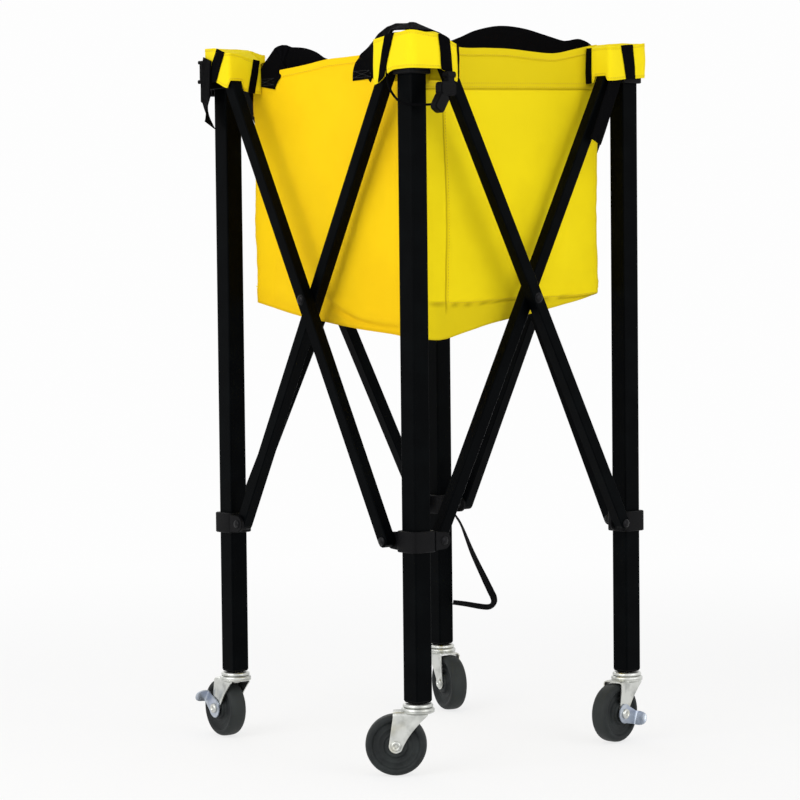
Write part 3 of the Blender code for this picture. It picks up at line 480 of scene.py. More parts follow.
def arc(centre, radius, start, end, steps):
    """Points on an arc, angles in degrees."""
    angles = [math.radians(start + (end - start) * k / steps) for k in range(steps + 1)]
    return [(centre[0] + radius * math.cos(a), centre[1] + radius * math.sin(a)) for a in angles]


def rounded_square(side, round_by, steps=5):
    turn = side / 2 - round_by
    spots = ((1, 1, 0), (-1, 1, 90), (-1, -1, 180), (1, -1, 270))
    return [p for sx, sy, a in spots for p in arc((sx * turn, sy * turn), round_by, a, a + 90, steps)]


def axes(x, z, at=(0, 0, 0)):
    """A frame from the directions of its X and Z."""
    x, z = Vector(x).normalized(), Vector(z).normalized()
    y = z.cross(x)
    return Matrix.Translation(at) @ Matrix((x, y, z)).transposed().to_4x4()


print("mesh makers ready")

# %% [markdown]
# ## Legs and bars
#
# The legs are one-inch square tube and the bars are smaller square tube with round solid ends. The
# CAD nodes already have these forms with their rounded edges, so they stay and only get the powder
# coat.

# %% Legs and bars
kept = [f"{name}_leg" for name in CORNERS]
for name in CORNERS:
    side = f"{name}_{next_corner(name)}"
    kept += [f"{side}_outer_bar", f"{side}_inner_bar"]
for node in kept:
    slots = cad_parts[node].material_slots
    for slot in slots:
        slot.material = POWDER
print("powder coated:", len(kept), "nodes")

# %% [markdown]
# ## Rivets
#
# Every scissor joint turns on a rivet with two domed heads: the heads are all the same, only their
# places differ, which is what Geometry Nodes is for. The tree puts one dome on each point of a
# small guide mesh and turns it to the direction painted there. The result becomes a plain mesh,
# one for each body that carries rivets.

# %% Geometry Nodes helpers
def new_tree(name, inputs):
    """An empty Geometry Nodes tree with named inputs, as (tree, add a node, sockets, identifiers)."""
    tree = bpy.data.node_groups.new(name, "GeometryNodeTree")
    tree.interface.new_socket("Geometry", in_out="INPUT", socket_type="NodeSocketGeometry")
    tree.interface.new_socket("Geometry", in_out="OUTPUT", socket_type="NodeSocketGeometry")
    names = {}
    for title, kind in inputs.items():
        names[title] = tree.interface.new_socket(title, in_out="INPUT", socket_type=kind).identifier
    entry = tree.nodes.new("NodeGroupInput")

    def add(kind, settings=None, links=None, output=0):
        made = tree.nodes.new(kind)
        for setting, value in (settings or {}).items():
            setattr(made, setting, value)
        for socket, value in (links or {}).items():
            if isinstance(value, bpy.types.NodeSocket):
                tree.links.new(value, made.inputs[socket])
            else:
                made.inputs[socket].default_value = value
        return made.outputs[output]

    return tree, add, entry.outputs, names


def finish_tree(tree, add, instances, finish_socket):
    """Every tree ends in real geometry with its finish set."""
    real = add("GeometryNodeRealizeInstances", None, {0: instances})
    dressed = add("GeometryNodeSetMaterial", None, {"Geometry": real, "Material": finish_socket})
    end = tree.nodes.new("NodeGroupOutput")
    tree.links.new(dressed, end.inputs[0])


def grown(name, guide, tree, names, values):
    """Runs a tree on a guide mesh and returns the result as a plain object."""
    carrier = bpy.data.objects.new(f"{name}_guide", guide)
    bpy.context.scene.collection.objects.link(carrier)
    modifier = carrier.modifiers.new("grow", "NODES")
    modifier.node_group = tree
    for title, value in values.items():
        modifier[names[title]] = value
    evaluated = carrier.evaluated_get(bpy.context.evaluated_depsgraph_get())
    mesh = bpy.data.meshes.new_from_object(evaluated)
    mesh.name = name
    bpy.data.objects.remove(carrier)
    thing = bpy.data.objects.new(name, mesh)
    bpy.context.scene.collection.objects.link(thing)
    return thing


# %% The rivet tree
RIVET_RADIUS, RIVET_HEIGHT, RIVET_SHANK = 0.0055, 0.0024, 0.003
rivet_tree, add, entry, RIVET_INPUTS = new_tree("rivet_heads", {
    "Radius": "NodeSocketFloat", "Height": "NodeSocketFloat", "Finish": "NodeSocketMaterial"})
ball = add("GeometryNodeMeshUVSphere", None, {"Segments": 20, "Rings": 12, "Radius": 1.0})
scale = add("ShaderNodeCombineXYZ", None, {0: entry["Radius"], 1: entry["Radius"], 2: entry["Height"]})
dome = add("GeometryNodeTransform", None, {"Geometry": ball, "Scale": scale})
out = add("GeometryNodeInputNamedAttribute", {"data_type": "FLOAT_VECTOR"}, {"Name": "out"})
turn = add("FunctionNodeAlignRotationToVector", {"axis": "Z"}, {"Vector": out})
heads = add("GeometryNodeInstanceOnPoints", None,
            {"Points": entry["Geometry"], "Instance": dome, "Rotation": turn})
smooth_heads = add("GeometryNodeRealizeInstances", None, {0: heads})
finish_tree(rivet_tree, add, smooth_heads, entry["Finish"])


def rivets(name, spots):
    """Domed heads at (point, outward direction) pairs."""
    guide = bpy.data.meshes.new(f"{name}_points")
    guide.from_pydata([at for at, _ in spots], [], [])
    out = guide.attributes.new("out", "FLOAT_VECTOR", "POINT")
    for item, (_, way) in zip(out.data, spots):
        item.vector = way
    thing = grown(name, guide, rivet_tree, RIVET_INPUTS,
                  {"Radius": RIVET_RADIUS, "Height": RIVET_HEIGHT, "Finish": RIVET_STEEL})
    thing.data.shade_smooth()
    return thing


print("rivet tree inputs:", RIVET_INPUTS)

# %% [markdown]
# ## Leg caps and sliding collars
#
# Each leg has a nylon cap on top and a nylon collar that slides on it. Both are square sleeves with
# two ears, one for the end of a bar on each side. They are pressed blocks with eased edges, and the
# bars' rivets go through the ears.

# %% Caps and collars
PIVOT_REACH = 0.030
TOP_PIVOT_Z = 0.868
COLLAR_PIVOT_Z = 0.285
BLOCK_HALF, BLOCK_WALL, BLOCK_EDGE = 0.018, 0.0048, 0.0009
CAP_LOW, CAP_HIGH, CAP_ROOF = -0.020, 0.0290, 0.0012
COLLAR_LOW, COLLAR_HIGH = -0.013, 0.013
EAR_ROUND, EAR_THICK, CAP_EAR_ROOT, COLLAR_EAR_ROOT = 0.0105, 0.0047, 0.027, 0.023
INNER_BAR_OUT, OUTER_BAR_OUT, BAR_HALF = 0.005, 0.0215, 0.008
CLEARANCE = 0.0003
INNER_EAR = (INNER_BAR_OUT + BAR_HALF + CLEARANCE, INNER_BAR_OUT + BAR_HALF + CLEARANCE + EAR_THICK)
OUTER_EAR = (OUTER_BAR_OUT - BAR_HALF - CLEARANCE - EAR_THICK, OUTER_BAR_OUT - BAR_HALF - CLEARANCE)
TO_NEXT = axes((1, 0, 0), (0, -1, 0))
TO_LAST = axes((0, 1, 0), (1, 0, 0))


def hollow_block(low, high, roof=0.0):
    """A square nylon sleeve, closed on top if roof is above zero. Heights are from the pivot."""
    outer = rounded_square(2 * BLOCK_HALF, 0.006)
    inner = rounded_square(2 * (BLOCK_HALF - BLOCK_WALL), 0.002)
    squeeze = (BLOCK_HALF - BLOCK_EDGE) / BLOCK_HALF
    rings = [[(x, y, low) for x, y in inner], [(x * squeeze, y * squeeze, low) for x, y in outer],
             [(x, y, low + BLOCK_EDGE) for x, y in outer], [(x, y, high - BLOCK_EDGE) for x, y in outer],
             [(x * squeeze, y * squeeze, high) for x, y in outer]]
    if roof:
        points, faces = ribbon(rings + [[(x * 0.3, y * 0.3, high + 0.0004) for x, y in outer]], False)
        count = len(outer)
        faces.append(list(range(len(points) - count, len(points))))
        top = len(points)
        points += [Vector((x, y, high - roof)) for x, y in inner]
        faces += [[k, (k + 1) % count, top + (k + 1) % count, top + k] for k in range(count)]
        faces.append([top + k for k in range(count)])
        return points, faces
    rings.append([(x, y, high) for x, y in inner])
    rings.append(rings[0])
    return ribbon(rings, False)


def ear(root_height, low, high):
    """A flat ear with a round end about the pivot, rooted a little inside the block."""
    root = BLOCK_HALF - 0.0024
    outline = [(root, -root_height / 2)] + arc((PIVOT_REACH, 0), EAR_ROUND, -80, 80, 20)
    return pressed(outline + [(root, root_height / 2)], low, high, 0.0006)


def eared_block(name, corner, pivot_z, next_ear, next_bar, last_ear, last_bar, block, root, body, node):
    """A cap or collar with its two ears and four rivet heads."""
    place = corner_frame(corner) @ Matrix.Translation((0, 0, pivot_z))
    last_flip = (-last_ear[1], -last_ear[0])
    shells = [moved(block, place), moved(ear(root, *next_ear), place @ TO_NEXT),
              moved(ear(root, *last_flip), place @ TO_LAST)]
    spots = []
    for way, wide_ear, bar_out, side in ((TO_NEXT, next_ear, next_bar, 1), (TO_LAST, last_ear, last_bar, -1)):
        near, far = sorted((wide_ear[0], wide_ear[1], bar_out - BAR_HALF - CLEARANCE,
                            bar_out + BAR_HALF + CLEARANCE))[::3]
        here = place @ way @ Matrix.Translation((PIVOT_REACH, 0, 0))
        if side < 0:
            here = here @ Matrix.Scale(-1, 4, (0, 0, 1))
        shells.append(moved(rod(RIVET_SHANK, near, far), here))
        out = (here.to_3x3() @ Vector((0, 0, 1))).normalized()
        spots += [(here @ Vector((0, 0, far)), out), (here @ Vector((0, 0, near)), -out)]
    thing = dress(joined(name, shells, NYLON), body, "moulded", node)
    dress(rivets(f"{name}_rivets", spots), body, "rivet")
    return thing


cap_block = hollow_block(CAP_LOW, CAP_HIGH, CAP_ROOF)
collar_block = hollow_block(COLLAR_LOW, COLLAR_HIGH)
for name in CORNERS:
    eared_block(f"{name}_cap_block", name, TOP_PIVOT_Z, OUTER_EAR, OUTER_BAR_OUT, INNER_EAR, INNER_BAR_OUT,
                cap_block, CAP_EAR_ROOT, f"{name}_leg", f"{name}_leg_cap")
    eared_block(f"{name}_collar_block", name, COLLAR_PIVOT_Z, INNER_EAR, INNER_BAR_OUT, OUTER_EAR,
                OUTER_BAR_OUT, collar_block, COLLAR_EAR_ROOT, f"{name}_collar", f"{name}_collar")
print("caps and collars done")

# %% Crossing rivets
CROSSING_Z = (TOP_PIVOT_Z + COLLAR_PIVOT_Z) / 2
WASHER_RADIUS = 0.0068
for name in CORNERS:
    side = f"{name}_{next_corner(name)}"
    place = corner_frame(name) @ axes((1, 0, 0), (0, -1, 0), (SPACING / 2, 0, CROSSING_Z))
    near, far = INNER_BAR_OUT - BAR_HALF - CLEARANCE, OUTER_BAR_OUT + BAR_HALF + CLEARANCE
    out = (place.to_3x3() @ Vector((0, 0, 1))).normalized()
    spots = [(place @ Vector((0, 0, far)), out), (place @ Vector((0, 0, near)), -out)]
    heads = rivets(f"{side}_rivet_heads", spots)
    dress(heads, f"{side}_outer_bar", "rivet", f"{side}_crossing_rivet")
    top, foot = far - 0.0001, far - 0.0005
    washer_profile = [(WASHER_RADIUS, top), (WASHER_RADIUS, foot), (RIVET_SHANK, foot), (RIVET_SHANK, top)]
    washer = turned(washer_profile, 32)
    pin = rod(RIVET_SHANK, near, far)
    shaft = joined(f"{side}_rivet_shaft", [moved(washer, place), moved(pin, place)], RIVET_STEEL)
    dress(shaft, f"{side}_outer_bar", "rivet")
print("crossing rivets done")

# %% [markdown]
# ## Casters: turned parts
#
# A swivel caster is a stem in the leg, a ball race, a pressed fork and a wheel on a bolt. The round
# parts are all profiles turned about an axis, as on a lathe. A profile needs only a dozen points,
# and small radii at its corners are what make it look like a real part.

# %% Caster frames, plugs, stems and wheels
WHEEL_RADIUS = 0.0375
TRAIL = 0.027
FORK_INNER, FORK_OUTER = 0.01305, 0.01525
PLATE_LOW_Z, PLATE_TOP_Z, RACE_TOP_Z, WASHER_TOP_Z = 0.0765, 0.0787, 0.0832, 0.0879
LEG_FOOT_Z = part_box("front_leg")[0].z
LEG_SIDE, PLUG_SIDE = 0.0254, 0.0218
TREAD_FROM, TREAD_BAND = 0.0340, 0.003
HEADINGS = {"left": 173.0, "front": 228.0, "right": 278.0, "back": 343.0}
LEVER_TURNS = {"left": 36.0, "right": 199.0}


def clamp(value, low=0.0, high=1.0):
    return min(max(value, low), high)


def caster_frame(name):
    """Z is the leg's axis, X points the way the caster trails."""
    return Matrix.Translation(leg_axis[name]) @ Matrix.Rotation(math.radians(HEADINGS[name]), 4, "Z")


def axle_frame(name):
    """X is the trail, Z runs along the axle."""
    return caster_frame(name) @ axes((1, 0, 0), (0, 1, 0), (TRAIL, 0, WHEEL_RADIUS))


def paint(thing, name, rule):
    """Paints a number on each point, from the point's place."""
    layer = thing.data.attributes.new(name, "FLOAT", "POINT")
    layer.data.foreach_set("value", [float(rule(v.co)) for v in thing.data.vertices])
    return thing


TYRE = [(0.0375, 0.0), (0.0375, 0.0030), (0.03735, 0.0052), (0.0370, 0.0072), (0.0362, 0.0090),
        (0.0350, 0.0104), (0.0334, 0.0112), (0.0316, 0.0114), (0.0302, 0.0110), (0.0290, 0.0100),
        (0.0282, 0.0087), (0.0274, 0.0081), (0.0260, 0.0079), (0.0225, 0.0079), (0.0218, 0.0083),
        (0.0208, 0.0083), (0.0201, 0.0079), (0.0165, 0.0080), (0.0152, 0.0086), (0.0144, 0.0100),
        (0.0139, 0.0115), (0.0133, 0.0124), (0.0124, 0.01272), (0.0066, 0.01272), (0.0058, 0.0122),
        (0.0046, 0.0122)]
wheel_profile = TYRE + [(r, -z) for r, z in reversed(TYRE[1:])]
wheel_shell = turned(wheel_profile, 96)
for name in CORNERS:
    place = axle_frame(name)
    wheel = joined(f"{name}_rubber_wheel", [moved(wheel_shell, place)], RUBBER, 50)
    back = place.inverted()
    paint(wheel, "tread", lambda co: clamp(((back @ co).xy.length - TREAD_FROM) / TREAD_BAND))
    dress(wheel, f"{name}_wheel", "rubber", f"{name}_wheel")

    foot = [[(x * k, y * k, LEG_FOOT_Z - drop) for x, y in rounded_square(LEG_SIDE, 0.0022)]
            for k, drop in ((0.97, 0.0002), (0.97, 0.0010), (0.90, 0.0022), (0.74, 0.0031))]
    core = [[(x, y, z) for x, y in rounded_square(PLUG_SIDE, 0.001, 2)]
            for z in (LEG_FOOT_Z - 0.001, LEG_FOOT_Z + 0.03)]
    leg_place = Matrix.Translation(leg_axis[name])
    plug_shells = [moved(ribbon(foot), leg_place), moved(ribbon(core), leg_place)]
    plug = joined(f"{name}_foot_plug", plug_shells, NYLON)
    dress(plug, f"{name}_leg", "moulded", f"{name}_leg_plug")

    low = RACE_TOP_Z + 0.0003
    stem_profile = [(0, WASHER_TOP_Z + 0.0006), (0.0076, WASHER_TOP_Z + 0.0006), (0.0080, WASHER_TOP_Z),
                    (0.0160, WASHER_TOP_Z), (0.0174, WASHER_TOP_Z - 0.0004), (0.0184, WASHER_TOP_Z - 0.0014),
                    (0.0187, low + 0.0016), (0.0185, low + 0.0006), (0.0178, low), (0.004, low),
                    (0.004, PLATE_LOW_Z - 0.0003), (0.0062, PLATE_LOW_Z - 0.0003),
                    (0.0065, PLATE_LOW_Z - 0.0008), (0.0058, PLATE_LOW_Z - 0.0030), (0, PLATE_LOW_Z - 0.0033)]
    stem = joined(f"{name}_stem_washer", [moved(turned(stem_profile, 64), leg_place)], ZINC, 40)
    dress(stem, f"{name}_leg", "zinc", f"{name}_caster_stem")
print("wheels, plugs and stems on", len(CORNERS), "corners")

# %% [markdown]
# ## Casters: the pressed fork
#
# The fork is one piece of sheet steel, bent over the wheel like an upturned U, with arms that
# narrow to the axle. Cutting it from a box with Booleans gives hard corners. Here the sheet is laid
# out as a grid along the bend instead: each row knows how wide the arm is at its height, so the
# shoulders come out round as a press makes them. The middle of each arm is pressed in slightly.

# %% Fork
LUG = 0.0087
FORK_BEND = 0.0050
FRONT_EDGE, BACK_EDGE = -0.0120, 0.0305
BOLT_RADIUS, LEVER_ROOM = 0.004, 0.0026


def arm_width(z):
    """Front and back edge of the fork's sheet at a height."""
    rise = z - WHEEL_RADIUS
    chord = math.sqrt(max(LUG ** 2 - rise ** 2, 1e-7)) if rise < 0.0012 else None
    foot_x, foot_z = TRAIL - 0.0071, WHEEL_RADIUS - 0.0050
    climb = clamp((z - foot_z) / (PLATE_TOP_Z - 0.0044 - foot_z))
    front = foot_x + (FRONT_EDGE - foot_x) * climb + 0.0040 * math.sin(math.pi * climb) ** 0.8
    if z < foot_z:
        front = TRAIL - chord
    back_foot = TRAIL + 0.00865
    back = back_foot + (BACK_EDGE - back_foot) * clamp((rise - 0.0010) / 0.034)
    if chord is not None:
        back = TRAIL + chord
    return front, back


def fork_shell():
    """The bent sheet as a closed shell, in the caster's frame."""
    top, bend_z = PLATE_TOP_Z, PLATE_TOP_Z - FORK_BEND
    low = WHEEL_RADIUS - LUG + 0.00002
    heights = [low + (bend_z - low) * (k / 30) ** 1.35 for k in range(31)]
    path = [(-FORK_OUTER, z, -1.0, 0.0) for z in heights]
    for k in range(1, 9):
        a = math.radians(180 - 90 * k / 8)
        path.append((-FORK_OUTER + FORK_BEND + FORK_BEND * math.cos(a), bend_z + FORK_BEND * math.sin(a),
                     math.cos(a), math.sin(a)))
    path += [(-FORK_OUTER + FORK_BEND + (FORK_OUTER - FORK_BEND) * k / 4, top, 0.0, 1.0) for k in range(1, 5)]
    path += [(-y, z, -ny, nz) for y, z, ny, nz in reversed(path[:-1])]
    rings, columns, sheet = [], 16, FORK_OUTER - FORK_INNER
    for y, z, ny, nz in path:
        front, back = arm_width(min(z, top - 0.0015))
        outer, inner = [], []
        for c in range(columns + 1):
            share = c / columns
            x = front + (back - front) * share
            up = clamp((z - 0.046) / 0.008) * clamp((0.0735 - z) / 0.006)
            pressed_in = 0.0008 * up * math.sin(math.pi * clamp((share - 0.18) / 0.64)) ** 0.7
            rim = 0.0004 * (abs(share - 0.5) * 2) ** 12
            outer.append((x, y - ny * (pressed_in + rim), z - nz * rim))
            inner.append((x, y - ny * (sheet + pressed_in - rim), z - nz * (sheet - rim)))
        rings.append(outer + inner[::-1])
    return ribbon(rings)


RACE = [(0, RACE_TOP_Z), (0.0150, RACE_TOP_Z), (0.0186, RACE_TOP_Z - 0.0003), (0.0199, RACE_TOP_Z - 0.0011),
        (0.0205, RACE_TOP_Z - 0.0024), (0.0205, RACE_TOP_Z - 0.0034), (0.0199, RACE_TOP_Z - 0.0042),
        (0.0204, PLATE_TOP_Z - 0.0002), (0.0202, PLATE_TOP_Z - 0.0014), (0.0190, PLATE_LOW_Z),
        (0, PLATE_LOW_Z)]
HEAD = [(0, 0.0010), (0.0021, 0.0010), (0.0028, 0.0022), (0.0036, 0.0028), (0.0048, 0.0028), (0.0060, 0.0020),
        (0.0065, 0.0006), (0.0065, -0.0002), (0, -0.0002)]
fork = fork_shell()
for name in CORNERS:
    braked = name in LEVER_TURNS
    place, axle = caster_frame(name), axle_frame(name)
    far = FORK_OUTER + (LEVER_ROOM if braked else 0)
    bolt = rod(BOLT_RADIUS, -FORK_OUTER, far, 32)
    head = turned(HEAD, 40)
    mirror = axes((1, 0, 0), (0, 0, -1))
    shells = [moved(fork, place), moved(turned(RACE, 72), place), moved(bolt, axle),
              moved(head, axle @ Matrix.Translation((0, 0, far))),
              moved(head, axle @ Matrix.Translation((0, 0, -FORK_OUTER)) @ mirror)]
    thing = joined(f"{name}_pressed_fork", shells, ZINC, 38)
    dress(thing, f"{name}_caster", "zinc", f"{name}_caster_fork")
print("fork:", len(fork[0]), "points")

# %% [markdown]
# ## Brake levers
#
# Two casters have a lever that turns on the axle: a plate with a round lobe and a pedal for the
# foot. The plate is pressed from an outline and the pedal is a short ribbon that bends out of it
# and ends in a rounded tip.

# %% Levers
def lever_shells():
    """The lever's plate and its pedal, with Z along the axle."""
    low, sheet = FORK_OUTER + 0.0003, 0.0020
    outline = arc((0, 0), 0.0125, 62, 298, 40)
    outline += [(0.0150, -0.0098), (0.0195, -0.0090), (0.0235, -0.0088), (0.0235, 0.0088), (0.0195, 0.0090),
                (0.0150, 0.0098)]
    plate = pressed(outline, low, low + sheet, 0.0005)
    route = [(0.0205, low), (0.0232, low + 0.0002), (0.0250, low + 0.0016), (0.0256, low + 0.0042),
             (0.0258, low + 0.0080), (0.0259, low + 0.0115), (0.0261, low + 0.0145), (0.0264, low + 0.0163),
             (0.0266, low + 0.0170)]
    half = [0.0088, 0.0089, 0.0090, 0.0091, 0.0090, 0.0084, 0.0068, 0.0046, 0.0018]
    rings = []
    for i, ((x, z), wide) in enumerate(zip(route, half)):
        ahead_x, ahead_z = route[min(i + 1, len(route) - 1)]
        last_x, last_z = route[max(i - 1, 0)]
        along = Vector((ahead_x - last_x, ahead_z - last_z)).normalized()
        side = Vector((-along.y, along.x)) * sheet
        rings.append([(x, -wide, z), (x, -wide / 2, z), (x, wide / 2, z), (x, wide, z),
                      (x + side.x, wide, z + side.y), (x + side.x, wide / 2, z + side.y),
                      (x + side.x, -wide / 2, z + side.y), (x + side.x, -wide, z + side.y)])
    return plate, ribbon(rings)


for name, turn_by in LEVER_TURNS.items():
    place = axle_frame(name) @ Matrix.Rotation(math.radians(-turn_by), 4, "Z")
    thing = joined(f"{name}_lever", [moved(shell, place) for shell in lever_shells()], LEVER_ZINC, 40)
    dress(thing, f"{name}_brake", "lever", f"{name}_brake_lever")
print("levers on", sorted(LEVER_TURNS))

# %% [markdown]
# ## The bag's walls
#
# The bag is one lofted shell: its plan is a square with round corners, and its height runs from a
# sloping hem to a rim that sags between the leg caps. Cloth simulation could drape it, but the real
# one is stretched between four legs and barely moves, so its folds are placed one by one: a slow
# billow, fine creases, and the few folds that show. It is cut into four walls, one for each side, at
# the corners' middles, where the legs hide the cut.

# %% Shapes shared by the walls
INSET, ROUND = 0.021, 0.012
FIRST_X = INSET + ROUND - ROUND * math.pi / 4
LAST_X = SPACING - FIRST_X
CLOTH_THICK, HEM_DEPTH = 0.0014, 0.053
HEM_SEAM_Z, HEM_SEAM_SLOPE = 0.8315, 0.0275
SIDE_SEAM_X, BACK_SEAM_Z = 0.0712, 0.5915
FLOOR_SEAM_Z, FLOOR_SEAM_RISE = 0.5685, 0.0090


def hem_seam(name, x, rim):
    """Height of the top hem's lower seam, which runs straight on the front right wall."""
    return HEM_SEAM_Z + HEM_SEAM_SLOPE * x if name == "front_right" else rim - HEM_DEPTH


def side_seam(z):
    """Where the front right wall's upright seam is at a height."""
    return SIDE_SEAM_X + 0.0015 * math.sin(z * 21)


def floor_seam(x):
    """Height of the seam that runs level with the floor on the front right wall."""
    return FLOOR_SEAM_Z + FLOOR_SEAM_RISE * max(0, x - 0.05) / 0.29 + 0.0012 * math.sin(x * 40)


def between(a, b, c, d, t):
    """A smooth curve from b to c, on its way from a to d."""
    return b + 0.5 * t * (c - a + t * (2 * a - 5 * b + 4 * c - d + t * (3 * (b - c) + d - a)))


def curve_at(values, share):
    """A smooth curve through evenly spaced values."""
    last = len(values) - 1
    spot = clamp(share) * last
    i = min(int(spot), last - 1)
    return between(*(values[clamp(j, 0, last)] for j in (i - 1, i, i + 1, i + 2)), spot - i)


def ease(value, low, high):
    """0 below low, 1 above high, smooth between."""
    share = clamp((value - low) / (high - low))
    return share * share * (3 - 2 * share)


def groove(distance, width):
    """1 on a line, fading within a few widths of it."""
    return math.exp(-(distance / width) ** 2)


WALLS = {
    "left_front": {"corner": "left", "cloth": "left", "seed": 3.1,
                   "rim": (0.864, 0.8675, 0.8705, 0.8735, 0.8775, 0.8782, 0.8800, 0.8900, 0.8960),
                   "hem": (0.5720, 0.5645, 0.5570, 0.5510, 0.5460, 0.5415, 0.5375, 0.5340, 0.5290)},
    "front_right": {"corner": "front", "cloth": "right", "seed": 7.7,
                    "rim": (0.8960, 0.8890, 0.8850, 0.8862, 0.8865, 0.8845, 0.8842, 0.8915, 0.8985),
                    "hem": (0.5290, 0.5268, 0.5350, 0.5440, 0.5510, 0.5570, 0.5640, 0.5710, 0.5790)},
    "right_back": {"corner": "right", "cloth": "right", "seed": 12.3,
                   "rim": (0.8985, 0.8940, 0.8900, 0.8875, 0.8865, 0.8865, 0.8870, 0.8880, 0.8900),
                   "hem": (0.5790, 0.5795, 0.5800, 0.5810, 0.5820, 0.5830, 0.5840, 0.5845, 0.5850)},
    "back_left": {"corner": "back", "cloth": "left", "seed": 21.9,
                  "rim": (0.8900, 0.8850, 0.8815, 0.8785, 0.8755, 0.8730, 0.8700, 0.8665, 0.8640),
                  "hem": (0.5850, 0.5835, 0.5820, 0.5805, 0.5790, 0.5775, 0.5760, 0.5740, 0.5720)},
}
print("walls:", list(WALLS), "from", round(FIRST_X, 4), "to", round(LAST_X, 4))

# %% [markdown]
# ## How a wall is displaced
#
# Each point of a wall moves along its own outward direction. Near a corner the movement depends on
# the corner and the height alone, so two neighbouring walls stay together. Seams are narrow grooves
# with raised lips, and a hem is a second layer that stands out by its thickness.

# %% Wall surface
def plan_point(x):
    """Where a wall's outer face is, seen from above, and which way it faces."""
    turn = ROUND + INSET
    if x < turn:
        a = (turn - x) / ROUND
        out = Vector((-math.sin(a), -math.cos(a), 0))
        return Vector((turn, turn, 0)) + out * ROUND, out
    if x > SPACING - turn:
        a = (x - SPACING + turn) / ROUND
        out = Vector((math.sin(a), -math.cos(a), 0))
        return Vector((SPACING - turn, turn, 0)) + out * ROUND, out
    return Vector((x, INSET, 0)), Vector((0, -1, 0))


def corner_wave(corner, z):
    """The movement that two neighbouring walls share at their corner."""
    seed = 5.0 + 9.0 * CORNERS.index(corner)
    return 0.0022 * noise.noise((seed, 0.3, z * 17)) + 0.0011 * noise.noise((seed, 4.1, z * 60))


def seams(name, x, z, rim):
    """How deep a seam's groove and how high its lips are here, and how much shade is painted in it."""
    depth, shade_paint = 0.0, 0.0
    seam_z = hem_seam(name, x, rim)
    lines = [(rim - 0.010 - z, 0.0006, 0.15 if name == "left_front" else 0.5)]
    if name == "front_right":
        lines.append((seam_z - z, 0.0010, 1.0))
        if z < seam_z:
            lines.append((x - side_seam(z), 0.0011, ease(z, 0.556, 0.566)))
        lines.append((z - floor_seam(x), 0.0012, ease(x, 0.028, 0.05)))
    if name in ("right_back", "back_left"):
        lines.append((seam_z - z, 0.0009, 1.0))
        lines.append((z - BACK_SEAM_Z, 0.0011, 1.0))
    for off, width, strength in lines:
        depth -= 0.0009 * strength * groove(off, width)
        depth += 0.0004 * strength * groove(abs(off) - 2.6 * width, 1.6 * width)
        shade_paint += 0.9 * strength * groove(off, 1.1 * width)
    return depth, min(shade_paint, 1.0)


def folds(name, x, z):
    """The folds that show on each wall."""
    out = 0.0
    if name == "left_front":
        past = x - 0.1605
        crease_z = 0.5818 - 0.26 * past - 0.010 * math.sin(clamp(past / 0.147) * math.pi)
        along = ease(x, 0.140, 0.180) * (1 - ease(x, 0.300, 0.330))
        out += 0.0030 * along * groove(z - crease_z - 0.006, 0.007)
        out -= 0.0034 * along * groove(z - crease_z + 0.003, 0.004)
        out -= 0.0035 * groove(x - 0.300 - 0.03 * (0.88 - z), 0.012) * ease(z, 0.54, 0.62)
        out += 0.0022 * groove(x - 0.235 - 0.02 * (0.88 - z), 0.030)
        out -= 0.0015 * groove(x - 0.060 - 0.10 * (z - 0.60), 0.010) * (1 - ease(z, 0.72, 0.80))
    if name == "front_right":
        middle = ease(z, 0.58, 0.66) * (1 - ease(z, 0.80, 0.835))
        out -= 0.0030 * groove(x - 0.118 - 0.30 * (0.82 - z), 0.016) * middle
        out += 0.0020 * groove(x - 0.20, 0.045)
        out -= 0.0022 * groove(z - 0.585 - 0.05 * (x - 0.2), 0.010) * ease(x, 0.06, 0.10)
        out += 0.0016 * groove(x - 0.285 + 0.18 * (0.72 - z), 0.012)
    if name in ("right_back", "back_left"):
        out -= 0.0025 * groove(x - 0.12 - 0.15 * (0.8 - z), 0.014)
        out -= 0.0020 * groove(x - 0.26 + 0.2 * (0.7 - z), 0.016)
    return out


def wall_surface(name, x, z):
    """A point of the wall's outer face in its corner's frame, its outward direction and its painted shade."""
    wall = WALLS[name]
    share = (x - FIRST_X) / (LAST_X - FIRST_X)
    rim = curve_at(wall["rim"], share)
    at, out = plan_point(x)
    window = ease(x, FIRST_X, 0.075) * (1 - ease(x, SPACING - 0.075, LAST_X))
    seed = wall["seed"]
    billow = 0.0024 * noise.noise((x * 7, z * 6, seed)) + 0.0013 * noise.noise((x * 26, z * 13, seed + 3))
    fine = 0.00045 * noise.noise((x * 75, z * 60, seed + 9))
    corner = wall["corner"]
    ends = corner_wave(corner, z) * (1 - ease(x, FIRST_X, 0.10))
    ends += corner_wave(next_corner(corner), z) * ease(x, SPACING - 0.10, LAST_X)
    still = 1 - 0.75 * ease(z, rim - 0.05, rim)
    seam, shade_paint = seams(name, x, z, rim)
    hem = 0.0007 * ease(z, rim - 0.0106, rim - 0.0094)
    if name != "left_front":
        seam_z = hem_seam(name, x, rim)
        hem += 0.0008 * ease(z, seam_z - 0.0004, seam_z + 0.0004)
    curl = 0.0012 * noise.noise((x * 22, 8.0, seed)) * ease(z, rim - 0.02, rim)
    push = (billow + fine + folds(name, x, z)) * window * still + ends * still + seam + hem + curl * window
    return Vector((at.x, at.y, z)) + out * push, out, shade_paint


print("a point of the front right wall:", [round(v, 4) for v in wall_surface("front_right", 0.18, 0.75)[0]])

